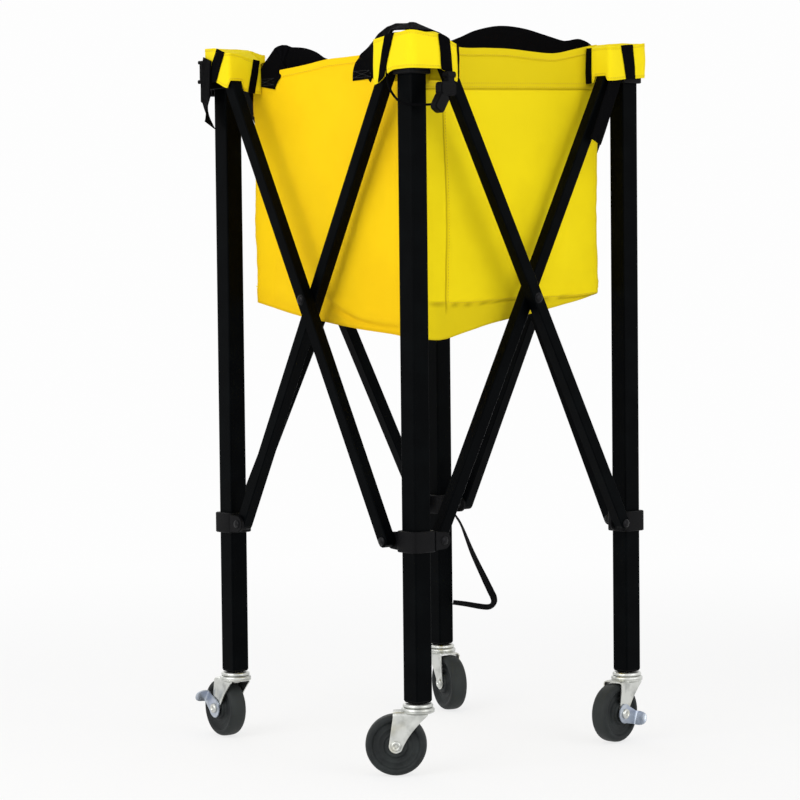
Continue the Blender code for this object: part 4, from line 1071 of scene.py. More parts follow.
# %% [markdown]
# ## Building the walls
#
# Rows and columns are closer together at the seams, so that the narrow grooves are real geometry
# while the rest stays light. The inner face follows the outer one at the cloth's thickness. Shade is
# painted on both: in the seams' grooves on the outer face, evenly over the inner face, along the
# bottom edge, and more low down, in the top hem and in the skirt.

# %% Wall meshes
GRID_STEP, WALL_SPAN = 0.0042, 0.318


def spaced(low, high, step, marks):
    """Positions from low to high, closer together at each mark."""
    fine = [0.0, 0.0006, 0.0012, 0.0020, 0.0030, 0.0045]
    count = round((high - low) / step)
    spots = {low, high}
    spots.update(low + (high - low) * k / count for k in range(count))
    for mark in marks:
        spots = {s for s in spots if abs(s - mark) > 0.0055 or s in (low, high)}
        spots.update(mark + sign * f for f in fine for sign in (-1, 1) if low < mark + sign * f < high)
    return sorted(spots)


def low_shade_at(name, x, z, rim, hem):
    """Painted shade: more low down, and on all but the left front wall in the top hem, the skirt and high up.
    """
    low = 0.28 * (1 - ease(z, hem, 0.70))
    if name == "left_front":
        return low + 0.35 * (1 - ease(z, hem + 0.004, hem + 0.030))
    seam_z, rise = hem_seam(name, x, rim), FLOOR_SEAM_RISE * x / 0.34
    top_hem = 0.80 * ease(z, seam_z - 0.0006, seam_z + 0.0006)
    skirt = 0.75 * (1 - ease(z, 0.5680 + rise, 0.5725 + rise)) * ease(x, 0.02, 0.07)
    middle = 0.35 * ease(z, 0.72, 0.80) * ease(x, 0.10, 0.22)
    return min(1.0, low * 0.6 + top_hem + skirt + middle * (1 - top_hem))


def doubled_faces(outer, inner):
    """Faces of a closed sheet: two grids of so many rows of so many points, joined at their edges."""
    back, faces = outer * inner, []
    for i in range(outer - 1):
        for j in range(inner - 1):
            a = i * inner + j
            faces.append((a, a + 1, a + inner + 1, a + inner))
            faces.append((back + a, back + a + inner, back + a + inner + 1, back + a + 1))
        for a in (i * inner, (i + 1) * inner - 1):
            faces.append((a, a + inner, back + a + inner, back + a))
    for j in range(inner - 1):
        for a in (j, (outer - 1) * inner + j):
            faces.append((a, back + a, back + a + 1, a + 1))
    return faces


def wall_mesh(name):
    """A wall as points, faces, painted numbers and flat coordinates."""
    wall = WALLS[name]
    columns = spaced(FIRST_X, LAST_X, GRID_STEP, [SIDE_SEAM_X] if name == "front_right" else [])
    marks = [0.010, HEM_DEPTH]
    marks += [WALL_SPAN - 0.012] if name == "left_front" else [0.3, WALL_SPAN - 0.004]
    rows = spaced(0.0, WALL_SPAN, GRID_STEP, marks)
    points, shades, low_shades, flats = [], [], [], []
    for face in (0, 1):
        for x in columns:
            share = (x - FIRST_X) / (LAST_X - FIRST_X)
            rim, hem = curve_at(wall["rim"], share), curve_at(wall["hem"], share)
            seam_z = hem_seam(name, x, rim)
            stops = [(0.0, rim), (0.0160, rim - 0.0160), (HEM_DEPTH - 0.006, seam_z + 0.006),
                     (HEM_DEPTH + 0.006, seam_z - 0.006), (WALL_SPAN, hem)]
            for row in rows:
                (a, top), (b, foot) = next(p for p in zip(stops, stops[1:]) if row <= p[1][0] + 1e-9)
                z = top + (foot - top) * (row - a) / (b - a)
                at, out, shade_paint = wall_surface(name, x, z)
                # The inner face gets an even painted shade in place of the seams' painted shade.
                if face:
                    at = at - out * CLOTH_THICK
                    shade_paint = 0.25
                elif row in (0.0, WALL_SPAN):
                    at = at - out * 0.0002
                points.append(at)
                # Painted shade along the wall's bottom edge is added to it.
                shades.append(shade_paint + 0.5 * groove(z - hem, 0.0018))
                low_shades.append(low_shade_at(name, x, z, rim, hem))
                flats.append((x, z))
    return points, doubled_faces(len(columns), len(rows)), {"hollow": shades, "low": low_shades}, flats


def cloth_object(name, points, faces, painted, flats, finish, place, smooth=60):
    """A cloth piece with its flat coordinates and painted numbers."""
    mesh = bpy.data.meshes.new(name)
    mesh.from_pydata([place @ Vector(p) for p in points], [], faces)
    for title, values in painted.items():
        mesh.attributes.new(title, "FLOAT", "POINT").data.foreach_set("value", [float(v) for v in values])
    uv = mesh.uv_layers.new(name="cloth")
    uv.data.foreach_set("uv", [n for loop in mesh.loops for n in flats[loop.vertex_index]])
    work = bmesh.new()
    work.from_mesh(mesh)
    bmesh.ops.recalc_face_normals(work, faces=work.faces)
    work.to_mesh(mesh)
    work.free()
    mesh.materials.append(finish)
    mesh.shade_smooth()
    mesh.set_sharp_from_angle(angle=math.radians(smooth))
    thing = bpy.data.objects.new(name, mesh)
    bpy.context.scene.collection.objects.link(thing)
    return thing


wall_pieces = {}
for name, wall in WALLS.items():
    points, faces, painted, flats = wall_mesh(name)
    finish, place = CLOTH[wall["cloth"]], corner_frame(wall["corner"])
    wall_pieces[name] = cloth_object(f"{name}_bag_wall", points, faces, painted, flats, finish, place)
    print(name, "wall:", len(faces), "faces")

# %% [markdown]
# ## Which legs carry the walls
#
# Two walls ride on the left leg and two on the right leg.

# %% Walls on their legs
WALL_FOLDS = {"left_front": ("left", 0, "left_leg"), "back_left": ("left", 1, "left_leg"),
              "front_right": ("right", 1, "right_leg"), "right_back": ("right", 0, "right_leg")}
REPLACED = {"left_front": ["bag_left_walls"], "front_right": ["bag_right_walls"]}


def fold_cloth(thing, name):
    """Gives a piece of a wall a mesh of its own."""
    corner, axis, body = WALL_FOLDS[name]
    line = Vector((0, 0, 0))
    line[axis] = 1.0
    towards = corner_frame(corner) @ Vector((INSET, INSET, 0))
    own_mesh(thing)
    return thing


def wall_heights(name):
    """How tall a wall is at each of the spots of its rim."""
    wall = WALLS[name]
    return [r - h for r, h in zip(wall["rim"], wall["hem"])]


for name, thing in wall_pieces.items():
    dress(thing, WALL_FOLDS[name][2], "cloth", *REPLACED.get(name, []))
    fold_cloth(thing, name)

# %% [markdown]
# ## Stitches
#
# Sewn lines are rows of small raised stitches. One Geometry Nodes tree makes them all: it resamples
# a guide line at the stitch pitch, puts one stretched bead on each point and turns it along the
# line. Painting stitches as a bump would lose them in a close view.

# %% Stitch tree
stitch_tree, add, entry, STITCH_INPUTS = new_tree("stitches", {
    "Pitch": "NodeSocketFloat", "Length": "NodeSocketFloat", "Thickness": "NodeSocketFloat",
    "Finish": "NodeSocketMaterial"})
line = add("GeometryNodeMeshToCurve", None, {"Mesh": entry["Geometry"]})
spots = add("GeometryNodeResampleCurve", {"mode": "LENGTH"}, {"Curve": line, "Length": entry["Pitch"]})
bead = add("GeometryNodeMeshIcoSphere", None, {"Radius": 0.5, "Subdivisions": 1})
bead_size = add("ShaderNodeCombineXYZ", None,
                {0: entry["Length"], 1: entry["Thickness"], 2: entry["Thickness"]})
stitch = add("GeometryNodeTransform", None, {"Geometry": bead, "Scale": bead_size})
tangent = add("GeometryNodeInputTangent")
along_line = add("FunctionNodeAlignRotationToVector", {"axis": "X"}, {"Vector": tangent})
row = add("GeometryNodeInstanceOnPoints", None, {"Points": spots, "Instance": stitch, "Rotation": along_line})
finish_tree(stitch_tree, add, row, entry["Finish"])


def stitched(name, lines, finish, pitch=0.0038, length=0.0029, thickness=0.00075):
    """Stitches along several lines of points, as one plain object."""
    points, edges = [], []
    for path in lines:
        start = len(points)
        points += [Vector(p) for p in path]
        edges += [(k, k + 1) for k in range(start, len(points) - 1)]
    guide = bpy.data.meshes.new(f"{name}_line")
    guide.from_pydata(points, edges, [])
    thing = grown(name, guide, stitch_tree, STITCH_INPUTS,
                  {"Pitch": pitch, "Length": length, "Thickness": thickness, "Finish": finish})
    thing.data.shade_smooth()
    return thing


def wall_line(name, path, lift=0.0002):
    """A path of (x, z) on a wall, as points a little off its outer face."""
    place = corner_frame(WALLS[name]["corner"])
    found = []
    for x, z in path:
        at, out, _ = wall_surface(name, x, z)
        found.append(place @ (at + out * lift))
    return found


def along_wall(name, height, steps=90):
    """A path from end to end of a wall, at a height that follows from x and the rim's height."""
    line = []
    for k in range(steps + 1):
        share = k / steps
        x = FIRST_X + (LAST_X - FIRST_X) * share
        line.append((x, height(x, curve_at(WALLS[name]["rim"], share))))
    return line


for name, thing in wall_pieces.items():
    paths_on_wall = [along_wall(name, lambda x, rim: rim - 0.0085)]
    if name != "left_front":
        paths_on_wall.append(along_wall(name, lambda x, rim: hem_seam(name, x, rim) + 0.0028))
        paths_on_wall.append(along_wall(name, lambda x, rim: hem_seam(name, x, rim) + 0.0075))
    if name == "front_right":
        paths_on_wall.append([(side_seam(z) + 0.0033, z) for z in (0.570 + 0.0043 * k for k in range(61))])
        paths_on_wall.append([(x, floor_seam(x) + 0.0027) for x in (0.052 + 0.0047 * k for k in range(60))])
    lines = [wall_line(name, path) for path in paths_on_wall]
    seam_stitches = stitched(f"{name}_wall_stitches", lines, THREAD)
    dress(seam_stitches, WALL_FOLDS[name][2], "cloth")
    fold_cloth(seam_stitches, name)
    tall = wall_heights(name)
    round(sum(tall) / len(tall), 3)
print("stitch tree inputs:", STITCH_INPUTS)

# %% [markdown]
# ## The bag's floor
#
# The floor is two flaps of stiffened cloth that meet in the middle and swing up when the cart folds.
# Each is a thin cushion-like panel: it sags a little between its edges and rises at its sewn rim.

# %% Floor flaps
FLOOR_HEM = 0.006


def floor_flap(name):
    """One half of the floor, from its node's box, as points, faces and painted numbers."""
    low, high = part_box(f"bag_{name}_floor")
    wide, deep, columns, rows = high.x - low.x, high.y - low.y, 56, 30
    points, flats, shades = [], [], []
    for face in (0, 1):
        for i in range(columns + 1):
            for j in range(rows + 1):
                u, v = i / columns, j / rows
                x, y = low.x + wide * u, low.y + deep * v
                edge = min(x - low.x, high.x - x, y - low.y, high.y - y)
                rim = 0.0008 * groove(edge - 0.003, 0.003) - 0.0007 * groove(edge - FLOOR_HEM, 0.0012)
                sag = -0.0012 * math.sin(math.pi * u) + 0.0005 * noise.noise((x * 25, y * 25, 2.0))
                top = high.z - 0.0013 + rim + sag * ease(edge, 0.0, 0.03)
                z = top if face else top - 0.0018
                points.append(Vector((x, y, z)))
                flats.append((x, y))
                # Painted shade in the hem's groove, and an even painted shade "low" over the whole flap.
                shades.append(0.8 * groove(edge - FLOOR_HEM, 0.0014))
    faces = doubled_faces(columns + 1, rows + 1)
    return points, faces, {"hollow": shades, "low": [0.3] * len(points)}, flats, (low, high)


for name in ("left", "right"):
    points, faces, painted, flats, (low, high) = floor_flap(name)
    thing = cloth_object(f"bag_{name}_floor_flap", points, faces, painted, flats, CLOTH["right"], Matrix())
    dress(thing, f"bag_{name}_floor", "cloth", f"bag_{name}_floor")
    anchor = corner_frame(name) @ Vector((INSET, INSET, 0))
    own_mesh(thing)
    f"{name}_front_bag_wall" if name == "left" else "right_back_bag_wall"
print("floor flaps at", round(high.z, 4))

# %% [markdown]
# ## Corner sleeves
#
# Each corner of the bag ends in a yellow sleeve that is pulled over the leg's cap. It is a band of
# cloth whose plan turns round the cap, whose upper and lower edges rise and fall, and which is bound
# and strapped with black webbing. The plan is a path with rounded turns. The band, its bindings and
# its straps all read the same path, so a strap lies exactly on the cloth.

# %% The sleeve's path
SLEEVE_INNER_OUT, SLEEVE_OUTER_OUT, SLEEVE_END = 0.0213, 0.0331, 0.046
SLEEVE_CLOTH = 0.0016
SLEEVE_LAP, SHORT_LAP = 0.0207, 0.0184
BAR_CLEAR_Z = 0.8562


def rounded_path(spots, turns, steps=6):
    """A path in plan through these spots, with each inner spot rounded by its own radius."""
    out = [Vector(spots[0])]
    for before, at, after, radius in zip(spots, spots[1:], spots[2:], turns):
        before, at, after = Vector(before), Vector(at), Vector(after)
        a, b = (before - at).normalized(), (after - at).normalized()
        half = math.acos(clamp(a.dot(b), -1.0, 1.0)) / 2
        cut = min(radius / math.tan(half), (before - at).length * 0.45, (after - at).length * 0.45)
        for k in range(steps + 1):
            t = k / steps
            out.append((at + a * cut) * (1 - t) ** 2 + at * 2 * t * (1 - t) + (at + b * cut) * t ** 2)
    return out + [Vector(spots[-1])]


class SleevePath:
    """The plan of a sleeve: a place along it gives the point, the outward direction and two heights."""

    def __init__(self, corner):
        lap = SHORT_LAP if corner in ("left", "right") else SLEEVE_LAP
        spots = [(SLEEVE_END, lap), (SLEEVE_END, -SLEEVE_OUTER_OUT), (0.0150, -SLEEVE_OUTER_OUT),
                 (-SLEEVE_INNER_OUT, -SLEEVE_INNER_OUT), (-SLEEVE_INNER_OUT, SLEEVE_END),
                 (SLEEVE_LAP, SLEEVE_END)]
        coarse = rounded_path(spots, (0.004, 0.012, 0.0155, 0.004))
        self.points, self.lengths = [coarse[0]], [0.0]
        for a, b in zip(coarse, coarse[1:]):
            count = max(1, round((b - a).length / 0.0022))
            for k in range(1, count + 1):
                point = a + (b - a) * k / count
                self.lengths.append(self.lengths[-1] + (point - self.points[-1]).length)
                self.points.append(point)
        self.whole = self.lengths[-1]
        self.marks = [self.nearest(Vector(s)) for s in spots]
        self.corner = corner

    def nearest(self, spot):
        """The place along the path that is nearest to a spot in plan."""
        best = min(range(len(self.points)), key=lambda i: (self.points[i] - spot).length)
        return self.lengths[best]

    def at(self, s):
        """The point at a place along the path, and the outward direction there."""
        s = clamp(s, 0.0, self.whole)
        i = next(k for k in range(1, len(self.lengths)) if self.lengths[k] >= s or k == len(self.lengths) - 1)
        share = (s - self.lengths[i - 1]) / (self.lengths[i] - self.lengths[i - 1])
        point = self.points[i - 1].lerp(self.points[i], share)
        before, after = self.points[max(i - 2, 0)], self.points[min(i + 1, len(self.points) - 1)]
        way = (after - before).normalized()
        return point, Vector((-way.y, way.x))

    def heights(self, s):
        """Upper and lower edge of the band here."""
        middle = self.nearest(Vector((-SLEEVE_INNER_OUT, 0.005)))
        stops = sorted(zip(self.marks + [middle], SLEEVE_HEIGHTS[self.corner]))
        for (a, here), (b, there) in zip(stops, stops[1:]):
            if s <= b or b == stops[-1][0]:
                share = ease(s, a, b)
                top, low = (h + (t - h) * share for h, t in zip(here, there))
                break
        point, _ = self.at(s)
        over_bar = sum(ease(past, 0.043, 0.0455) * groove(max(abs(across + bar_out) - 0.0095, 0), 0.0016)
                       for past, across, bar_out in ((point.x, point.y, OUTER_BAR_OUT),
                                                     (point.y, point.x, INNER_BAR_OUT)))
        return top, low + max(0.0, BAR_CLEAR_Z - low) * min(1.0, over_bar)


# Upper and lower edges at the wall, the first end's turn, the first face, the leg's corner, the second
# end's turn, the wall again, and the middle of the second face.
SLEEVE_HEIGHTS = {
    "left": ((0.8825, 0.8400), (0.8912, 0.8466), (0.8990, 0.8558), (0.9005, 0.8572), (0.8960, 0.8520),
             (0.8930, 0.8500), (0.8990, 0.8570)),
    "front": ((0.8880, 0.8430), (0.8835, 0.8385), (0.8940, 0.8535), (0.8990, 0.8540), (0.8915, 0.8370),
              (0.8760, 0.8430), (0.8965, 0.8535)),
    "right": ((0.8985, 0.8545), (0.9000, 0.8550), (0.9010, 0.8570), (0.8992, 0.8549), (0.8925, 0.8495),
              (0.8918, 0.8473), (0.8958, 0.8532)),
    "back": ((0.8930, 0.8500), (0.8960, 0.8520), (0.9000, 0.8560), (0.9010, 0.8572), (0.8960, 0.8520),
             (0.8930, 0.8500), (0.8995, 0.8568)),
}
paths = {name: SleevePath(name) for name in CORNERS}
print("a sleeve is", round(paths["left"].whole, 4), "m long in plan")

# %% Sleeve cloth
def sleeve_point(path, s, v, lift=0.0):
    """A point of the sleeve's outer face at a height share v, lifted off it by lift."""
    point, out = path.at(s)
    top, low = path.heights(s)
    z = low + (top - low) * v
    seed = 3.0 * CORNERS.index(path.corner)
    puff = 0.0006 * math.sin(math.pi * clamp(v)) + 0.0007 * noise.noise((s * 60, z * 45, seed))
    hem = 0.0003 * (groove(v - 0.05, 0.05) + groove(v - 0.95, 0.05))
    spot = point + out * (SLEEVE_CLOTH / 2 + puff + hem + lift)
    return Vector((spot.x, spot.y, z)), Vector((out.x, out.y, 0))


def banded(path, starts, ends, thick, lift, columns, rows, over=0.0):
    """A strip of the sleeve's face. starts and ends are places along the path at v = 0 and v = 1."""
    points, flats, shades = [], [], []
    for face in (0, 1):
        for j in range(rows + 1):
            v = -over + (1 + 2 * over) * j / rows
            first = starts[0] + (starts[1] - starts[0]) * v
            last = ends[0] + (ends[1] - ends[0]) * v
            for i in range(columns + 1):
                u = i / columns
                s = first + (last - first) * u
                edge = min(u, 1 - u) * abs(last - first)
                eased = 0.35 * thick * (1 - min(1.0, edge / 0.0009))
                rise = lift + (thick - eased if face else eased)
                point, out = sleeve_point(path, s, v, rise)
                points.append(point)
                flats.append((s - (first + last) / 2, point.z))
                # Painted shade in the grooves by the upper and lower hems.
                shades.append(0.5 * groove(v - 0.06, 0.012) + 0.5 * groove(v - 0.94, 0.012))
    faces = doubled_faces(rows + 1, columns + 1)
    return points, faces, {"hollow": shades, "low": [0.0] * len(points)}, flats


for name in CORNERS:
    path, place = paths[name], corner_frame(name)
    sleeve = banded(path, (0, 0), (path.whole, path.whole), SLEEVE_CLOTH, -SLEEVE_CLOTH, 110, 20)
    thing = cloth_object(f"{name}_cap_sleeve", *sleeve, CLOTH["sleeve"], place)
    dress(thing, f"{name}_leg", "cloth", f"{name}_bag_sleeve")
    lines = [[place @ sleeve_point(path, path.whole * k / 90, v, 0.0001)[0] for k in range(91)]
             for v in (0.085, 0.915)]
    dress(stitched(f"{name}_sleeve_stitches", lines, THREAD, 0.0034, 0.0025, 0.0006), f"{name}_leg", "cloth")
print("four sleeves of", {name: round(path.whole, 3) for name, path in paths.items()}, "m")

# %% [markdown]
# ## Lids of the sleeves
#
# A sleeve is closed over its cap by the same cloth. One flat face could fill it, but the sleeve's
# upper edge rises and falls and the bag's corner stands inside it. So the lid is a set of rings from
# the edge in to that corner, level on the cap and sloping where the cloth leaves it.

# %% Lids
CAP_TOP = 0.8984
BAG_CORNER = 0.0228
LID_INNER_Z = {"left": 0.8800, "front": 0.8960, "right": 0.8975, "back": 0.8900}


def lid(path, rings=9, count=72):
    """The cloth over a cap: from the sleeve's upper edge in to the bag's corner."""
    centre, inner_z = Vector((BAG_CORNER, BAG_CORNER)), LID_INNER_Z[path.corner]
    points, flats = [], []
    for face in (0, 1):
        for k in range(rings + 1):
            t = k / rings
            for i in range(count + 1):
                s = path.whole * i / count
                edge, _ = path.at(s)
                spot = edge + (centre - edge) * (t * 0.985)
                top, _ = path.heights(s)
                here, rim = max(abs(spot.x), abs(spot.y)), max(abs(edge.x), abs(edge.y))
                slope = clamp((here - 0.0205) / max(rim - 0.0205, 0.0012))
                z = CAP_TOP + (top - CAP_TOP) * slope
                z += (inner_z - z) * ease(min(spot.x, spot.y), 0.0185, 0.0225)
                z += 0.0005 * noise.noise((spot.x * 70, spot.y * 70, 4.0)) * (1 if k else 0)
                points.append(Vector((spot.x, spot.y, z - 0.0003 - (0.0012 if face else 0))))
                flats.append((spot.x, spot.y))
    blank = [0.0] * len(points)
    return points, doubled_faces(rings + 1, count + 1), {"hollow": blank, "low": blank}, flats


for name in CORNERS:
    cover = cloth_object(f"{name}_sleeve_lid", *lid(paths[name]), CLOTH["sleeve"], corner_frame(name))
    dress(cover, f"{name}_leg", "cloth")
print("four lids")

# %% [markdown]
# ## Straps and bindings of the sleeves
#
# The black strips on a sleeve are sewn flat on its cloth, and most run on a slant. Each is cut from
# the sleeve's own surface and lifted off it, so it follows every turn. A straight strap would float
# or sink in. A strip is given by the spots in plan where its four corners are.

# %% Strips
OUT, IN, END = -SLEEVE_OUTER_OUT, -SLEEVE_INNER_OUT, SLEEVE_END
STRIP_THICK, STRIP_SMOOTH = 0.0013, 50
# The first edge's foot and head, then the last edge's foot and head.
STRIPS = (
    ("left_sleeve_strap", STRIP_THICK, (0.0205, OUT), (0.0390, OUT), (0.0010, OUT), (0.0235, OUT)),
    ("left_sleeve_binding", STRIP_THICK, (END, 0.0075), (END, 0.0165), (END, -0.0035), (END, 0.0050)),
    ("front_sleeve_strap", 0.0016, (IN, 0.0225), (IN, 0.0060), (IN, 0.0350), (IN, 0.0225)),
    ("front_sleeve_side_strap", 0.0018, (0.0350, OUT), (0.0310, OUT), (0.0170, OUT), (0.0120, OUT)),
    ("front_sleeve_binding", STRIP_THICK, (END, -0.0300), (END, -0.0295), (0.0440, OUT), (0.0420, OUT)),
    ("right_sleeve_strap", STRIP_THICK, (IN, 0.0000), (IN, 0.0060), (IN, 0.0190), (IN, 0.0275)),
    ("right_sleeve_binding", STRIP_THICK, (0.0105, END), (0.0085, END), (0.0200, END), (0.0195, END)),
    ("back_sleeve_strap", STRIP_THICK, (IN, 0.0050), (IN, 0.0050), (IN, 0.0250), (IN, 0.0250)),
)
for name, thick, *spots in STRIPS:
    corner = name.split("_")[0]
    path = paths[corner]
    a, b, c, d = (path.nearest(Vector(spot)) for spot in spots)
    shape = banded(path, (a, b), (c, d), thick, 0.0001, 8, 22, 0.012)
    thing = cloth_object(name, *shape, BINDING, corner_frame(corner), STRIP_SMOOTH)
    dress(thing, f"{corner}_leg", "webbing")
print("strips:", [name for name, *_ in STRIPS])

# %% [markdown]
# ## Webbing straps
#
# A strap is swept: at each station it knows its middle and the direction of its width, and a smooth
# curve runs through both, so it can twist, lie flat on a wall and stand on edge in one piece. A
# Curve object with a bevel would twist where it likes.

# %% Swept straps
NARROW_WIDTH, TAIL_WIDTH = 0.0196, 0.0340
HANDLE_THICK, LOOSE_THICK, TIE_THICK, BUCKLED_THICK = 0.0020, 0.0018, 0.0015, 0.0016


def smooth_stations(route, steps):
    """More stations along a smooth curve through (point, width direction) pairs."""
    points = [Vector(p) for p, _ in route]
    ways = [Vector(w).normalized() for _, w in route]
    out, last = [], len(route) - 1
    for i in range(last):
        near = [clamp(j, 0, last) for j in (i - 1, i, i + 1, i + 2)]
        for k in range(steps):
            t = k / steps
            out.append((between(*(points[j] for j in near), t), ways[i].lerp(ways[i + 1], t).normalized()))
    return out + [(points[-1], ways[-1])]


def strap_mesh(stations, width, thick):
    """A woven strap through the stations, with rounded edges, as points, faces and flat coordinates."""
    profile = [(-1.0, 0.0), (-0.975, 0.62), (-0.90, 1.0), (-0.60, 0.94), (-0.2, 0.94), (0.2, 0.94),
               (0.60, 0.94), (0.90, 1.0), (0.975, 0.62), (1.0, 0.0)]
    profile += [(u, -t) for u, t in reversed(profile[1:-1])]
    rings, flats, along = [], [], 0.0
    for i, (at, way) in enumerate(stations):
        ahead = stations[min(i + 1, len(stations) - 1)][0]
        behind = stations[max(i - 1, 0)][0]
        tangent = (ahead - behind).normalized()
        way = (way - tangent * way.dot(tangent)).normalized()
        face = tangent.cross(way)
        if i:
            along += (at - stations[i - 1][0]).length
        rings.append([at + way * (u * width / 2) + face * (t * thick / 2) for u, t in profile])
        flats += [(u * width / 2, along) for u, _ in profile]
    return *ribbon(rings), flats


def strap_object(name, stations, width, thick, finish, place):
    points, faces, flats = strap_mesh(stations, width, thick)
    return cloth_object(name, points, faces, {}, flats, finish, place, 70)


print("narrow straps are", NARROW_WIDTH, "m wide")

# %% [markdown]
# ## Handles
#
# Two long handles are sewn on opposite walls. Each climbs out of its first patch, droops in slack
# behind the rim, hooks over the next leg's cap and comes back down to its second patch. The route
# is the CAD model's, with more stations, so the webbing bends softly.

# %% Handles
W = WEBBING_WIDTH
OUTSIDE, INSIDE = INSET - 0.0013, INSET + 0.0066
HANDLE_KEEP, HOOK_TOP = 0.26, 0.9054
HANDLES = {
    "left": {"patches": (0.0555, 0.2480), "sewn": (0.8510, 0.8590), "rises": [
        ((0.0555, OUTSIDE, 0.848), (1, 0, 0)), ((0.0575, OUTSIDE, 0.8560), (1, 0, -0.12)),
        ((0.0655, OUTSIDE, 0.8665), (0.93, 0, -0.37)), ((0.0760, 0.0218, 0.8765), (0.78, 0.03, -0.62)),
        ((0.0812, 0.0234, 0.8812), (0.55, 0.06, -0.83)), ((0.0845, 0.0256, 0.8828), (0.30, 0.06, -0.95)),
        ((0.0910, 0.0287, 0.8795), (0.06, 0.05, -1)), ((0.1174, 0.0310, 0.8768), (0, 0.05, -1)),
        ((0.1394, 0.0310, 0.8709), (0, 0.05, -1)), ((0.1611, 0.0305, 0.8612), (0, 0.05, -1)),
        ((0.2027, 0.0300, 0.8530), (0, 0.05, -1)), ((0.2462, 0.0300, 0.8525), (0, 0.05, -1)),
        ((0.2800, 0.0310, 0.8650), (0, 0.12, -1)), ((0.3020, 0.0400, 0.8840), (0, 0.45, -0.85))]},
    "right": {"patches": (0.0471, 0.2425), "sewn": (0.8510, 0.8700), "rises": [
        ((0.0471, OUTSIDE, 0.848), (1, 0, 0)), ((0.0471, OUTSIDE, 0.862), (1, 0, 0)),
        ((0.0474, OUTSIDE, 0.8770), (1, 0, -0.05)), ((0.0500, 0.0205, 0.8865), (0.92, 0.05, -0.3)),
        ((0.0575, 0.0240, 0.8890), (0.55, 0.1, -0.8)), ((0.0724, INSIDE, 0.8878), (0.1, 0.05, -1)),
        ((0.0869, 0.0290, 0.8890), (0, 0.05, -1)), ((0.1194, 0.0300, 0.8985), (0, 0.05, -1)),
        ((0.1593, 0.0300, 0.9095), (0, 0.05, -1)), ((0.2027, 0.0300, 0.9155), (0, 0.05, -1)),
        ((0.2462, 0.0300, 0.9125), (0, 0.05, -1)), ((0.2800, 0.0310, 0.9050), (0, 0.15, -1)),
        ((0.3020, 0.0400, 0.9010), (0, 0.5, -0.7))]},
}


def handle_route(name):
    """From the first patch along the rim, over the next leg's cap, and down to the second patch."""
    second = HANDLES[name]["patches"][1]
    route = list(HANDLES[name]["rises"])
    route += [((0.3210, 0.0480, 0.8975), (0, 1, -0.45)), ((0.3365, 0.0480, 0.9030), (0.35, 1, -0.30)),
              ((0.3520, 0.0365, 0.9045), (0.8, 0.5, -0.42)),
              ((0.3640, 0.0135, HOOK_TOP - 0.0004), (0.95, -0.1, -0.28)),
              ((0.3600, -0.0010, HOOK_TOP), (0.5, -0.85, -0.28)),
              ((0.3460, -0.0045, HOOK_TOP), (0.05, -1, -0.30)),
              ((0.3345, -0.0072, 0.9008), (0.28, -0.74, -0.61)),
              ((0.3240, -0.0070, 0.8935), (0.52, -0.50, -0.68)),
              ((0.3090, -0.0035, 0.8848), (0.58, -0.36, -0.73)),
              ((0.2930, 0.0050, 0.8767), (0.58, -0.20, -0.79)),
              ((0.2750, 0.0140, 0.8695), (0.66, -0.05, -0.75)),
              ((second + 0.24 * W, OUTSIDE - 0.0006, 0.8625), (0.90, 0, -0.38)),
              ((second + 0.05 * W, OUTSIDE, 0.8580), (1, 0, -0.08)),
              ((second, OUTSIDE, 0.8540), (1, 0, 0)), ((second, OUTSIDE, 0.848), (1, 0, 0))]
    return route


def boxed_cross(x, low, high, half):
    """The stitching of a sewn patch: a box with a cross in it, as (x, z) paths."""
    a, b = (x - half, low), (x + half, low)
    c, d = (x + half, high), (x - half, high)
    return [[a, b], [b, c], [c, d], [d, a], [a, c], [b, d]]


for name, facts in HANDLES.items():
    place = corner_frame(name)
    stations = smooth_stations(handle_route(name), 5)
    thing = strap_object(f"{name}_carry_handle", stations, W, HANDLE_THICK, WEBBING, place)
    dress(thing, f"{name}_leg", "webbing", f"{name}_handle")
    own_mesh(thing)
    lines, steps = [], 14
    for x in facts["patches"]:
        for (x0, z0), (x1, z1) in boxed_cross(x, *facts["sewn"], W / 2 - 0.003):
            spots = [(x0 + (x1 - x0) * k / steps, z0 + (z1 - z0) * k / steps) for k in range(steps + 1)]
            lines.append([place @ Vector((x, INSET - 0.0024, z)) for x, z in spots])
    sewn = stitched(f"{name}_handle_stitches", lines, BLACK_THREAD, 0.0028, 0.0021, 0.0006)
    dress(sewn, f"{name}_leg", "webbing")
    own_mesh(sewn)
    print(name, "handle:", len(thing.data.polygons), "faces")

# %% [markdown]
# ## Buckle, strap end and tie
#
# The left sleeve's strap runs through a ladder buckle, a moulded frame of rounded bars between two
# rails, and its tail comes out of a slider in front. A loose strap end hangs by the right leg. The
# back collar has a loop of narrow webbing that ties the folded cart. The moulded pieces are pressed
# blocks, because they are small, and the webbing is swept like the handles.

# %% Ladder buckle
buckle_low, buckle_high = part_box("left_buckle")
buckle_middle = (buckle_low + buckle_high) / 2
buckle_size = buckle_high - buckle_low


def rounded_box(size, round_by, at, ease_by=0.0012):
    """A pressed block with rounded outline in X and Z and eased edges, centred at a point."""
    outline = []
    for sx, sy, a in ((1, 1, 0), (-1, 1, 90), (-1, -1, 180), (1, -1, 270)):
        outline += arc((sx * (size[0] / 2 - round_by), sy * (size[2] / 2 - round_by)), round_by, a, a + 90, 5)
    shell = pressed(outline, -size[1] / 2, size[1] / 2, ease_by)
    return moved(shell, Matrix.Translation(at) @ axes((1, 0, 0), (0, -1, 0)))


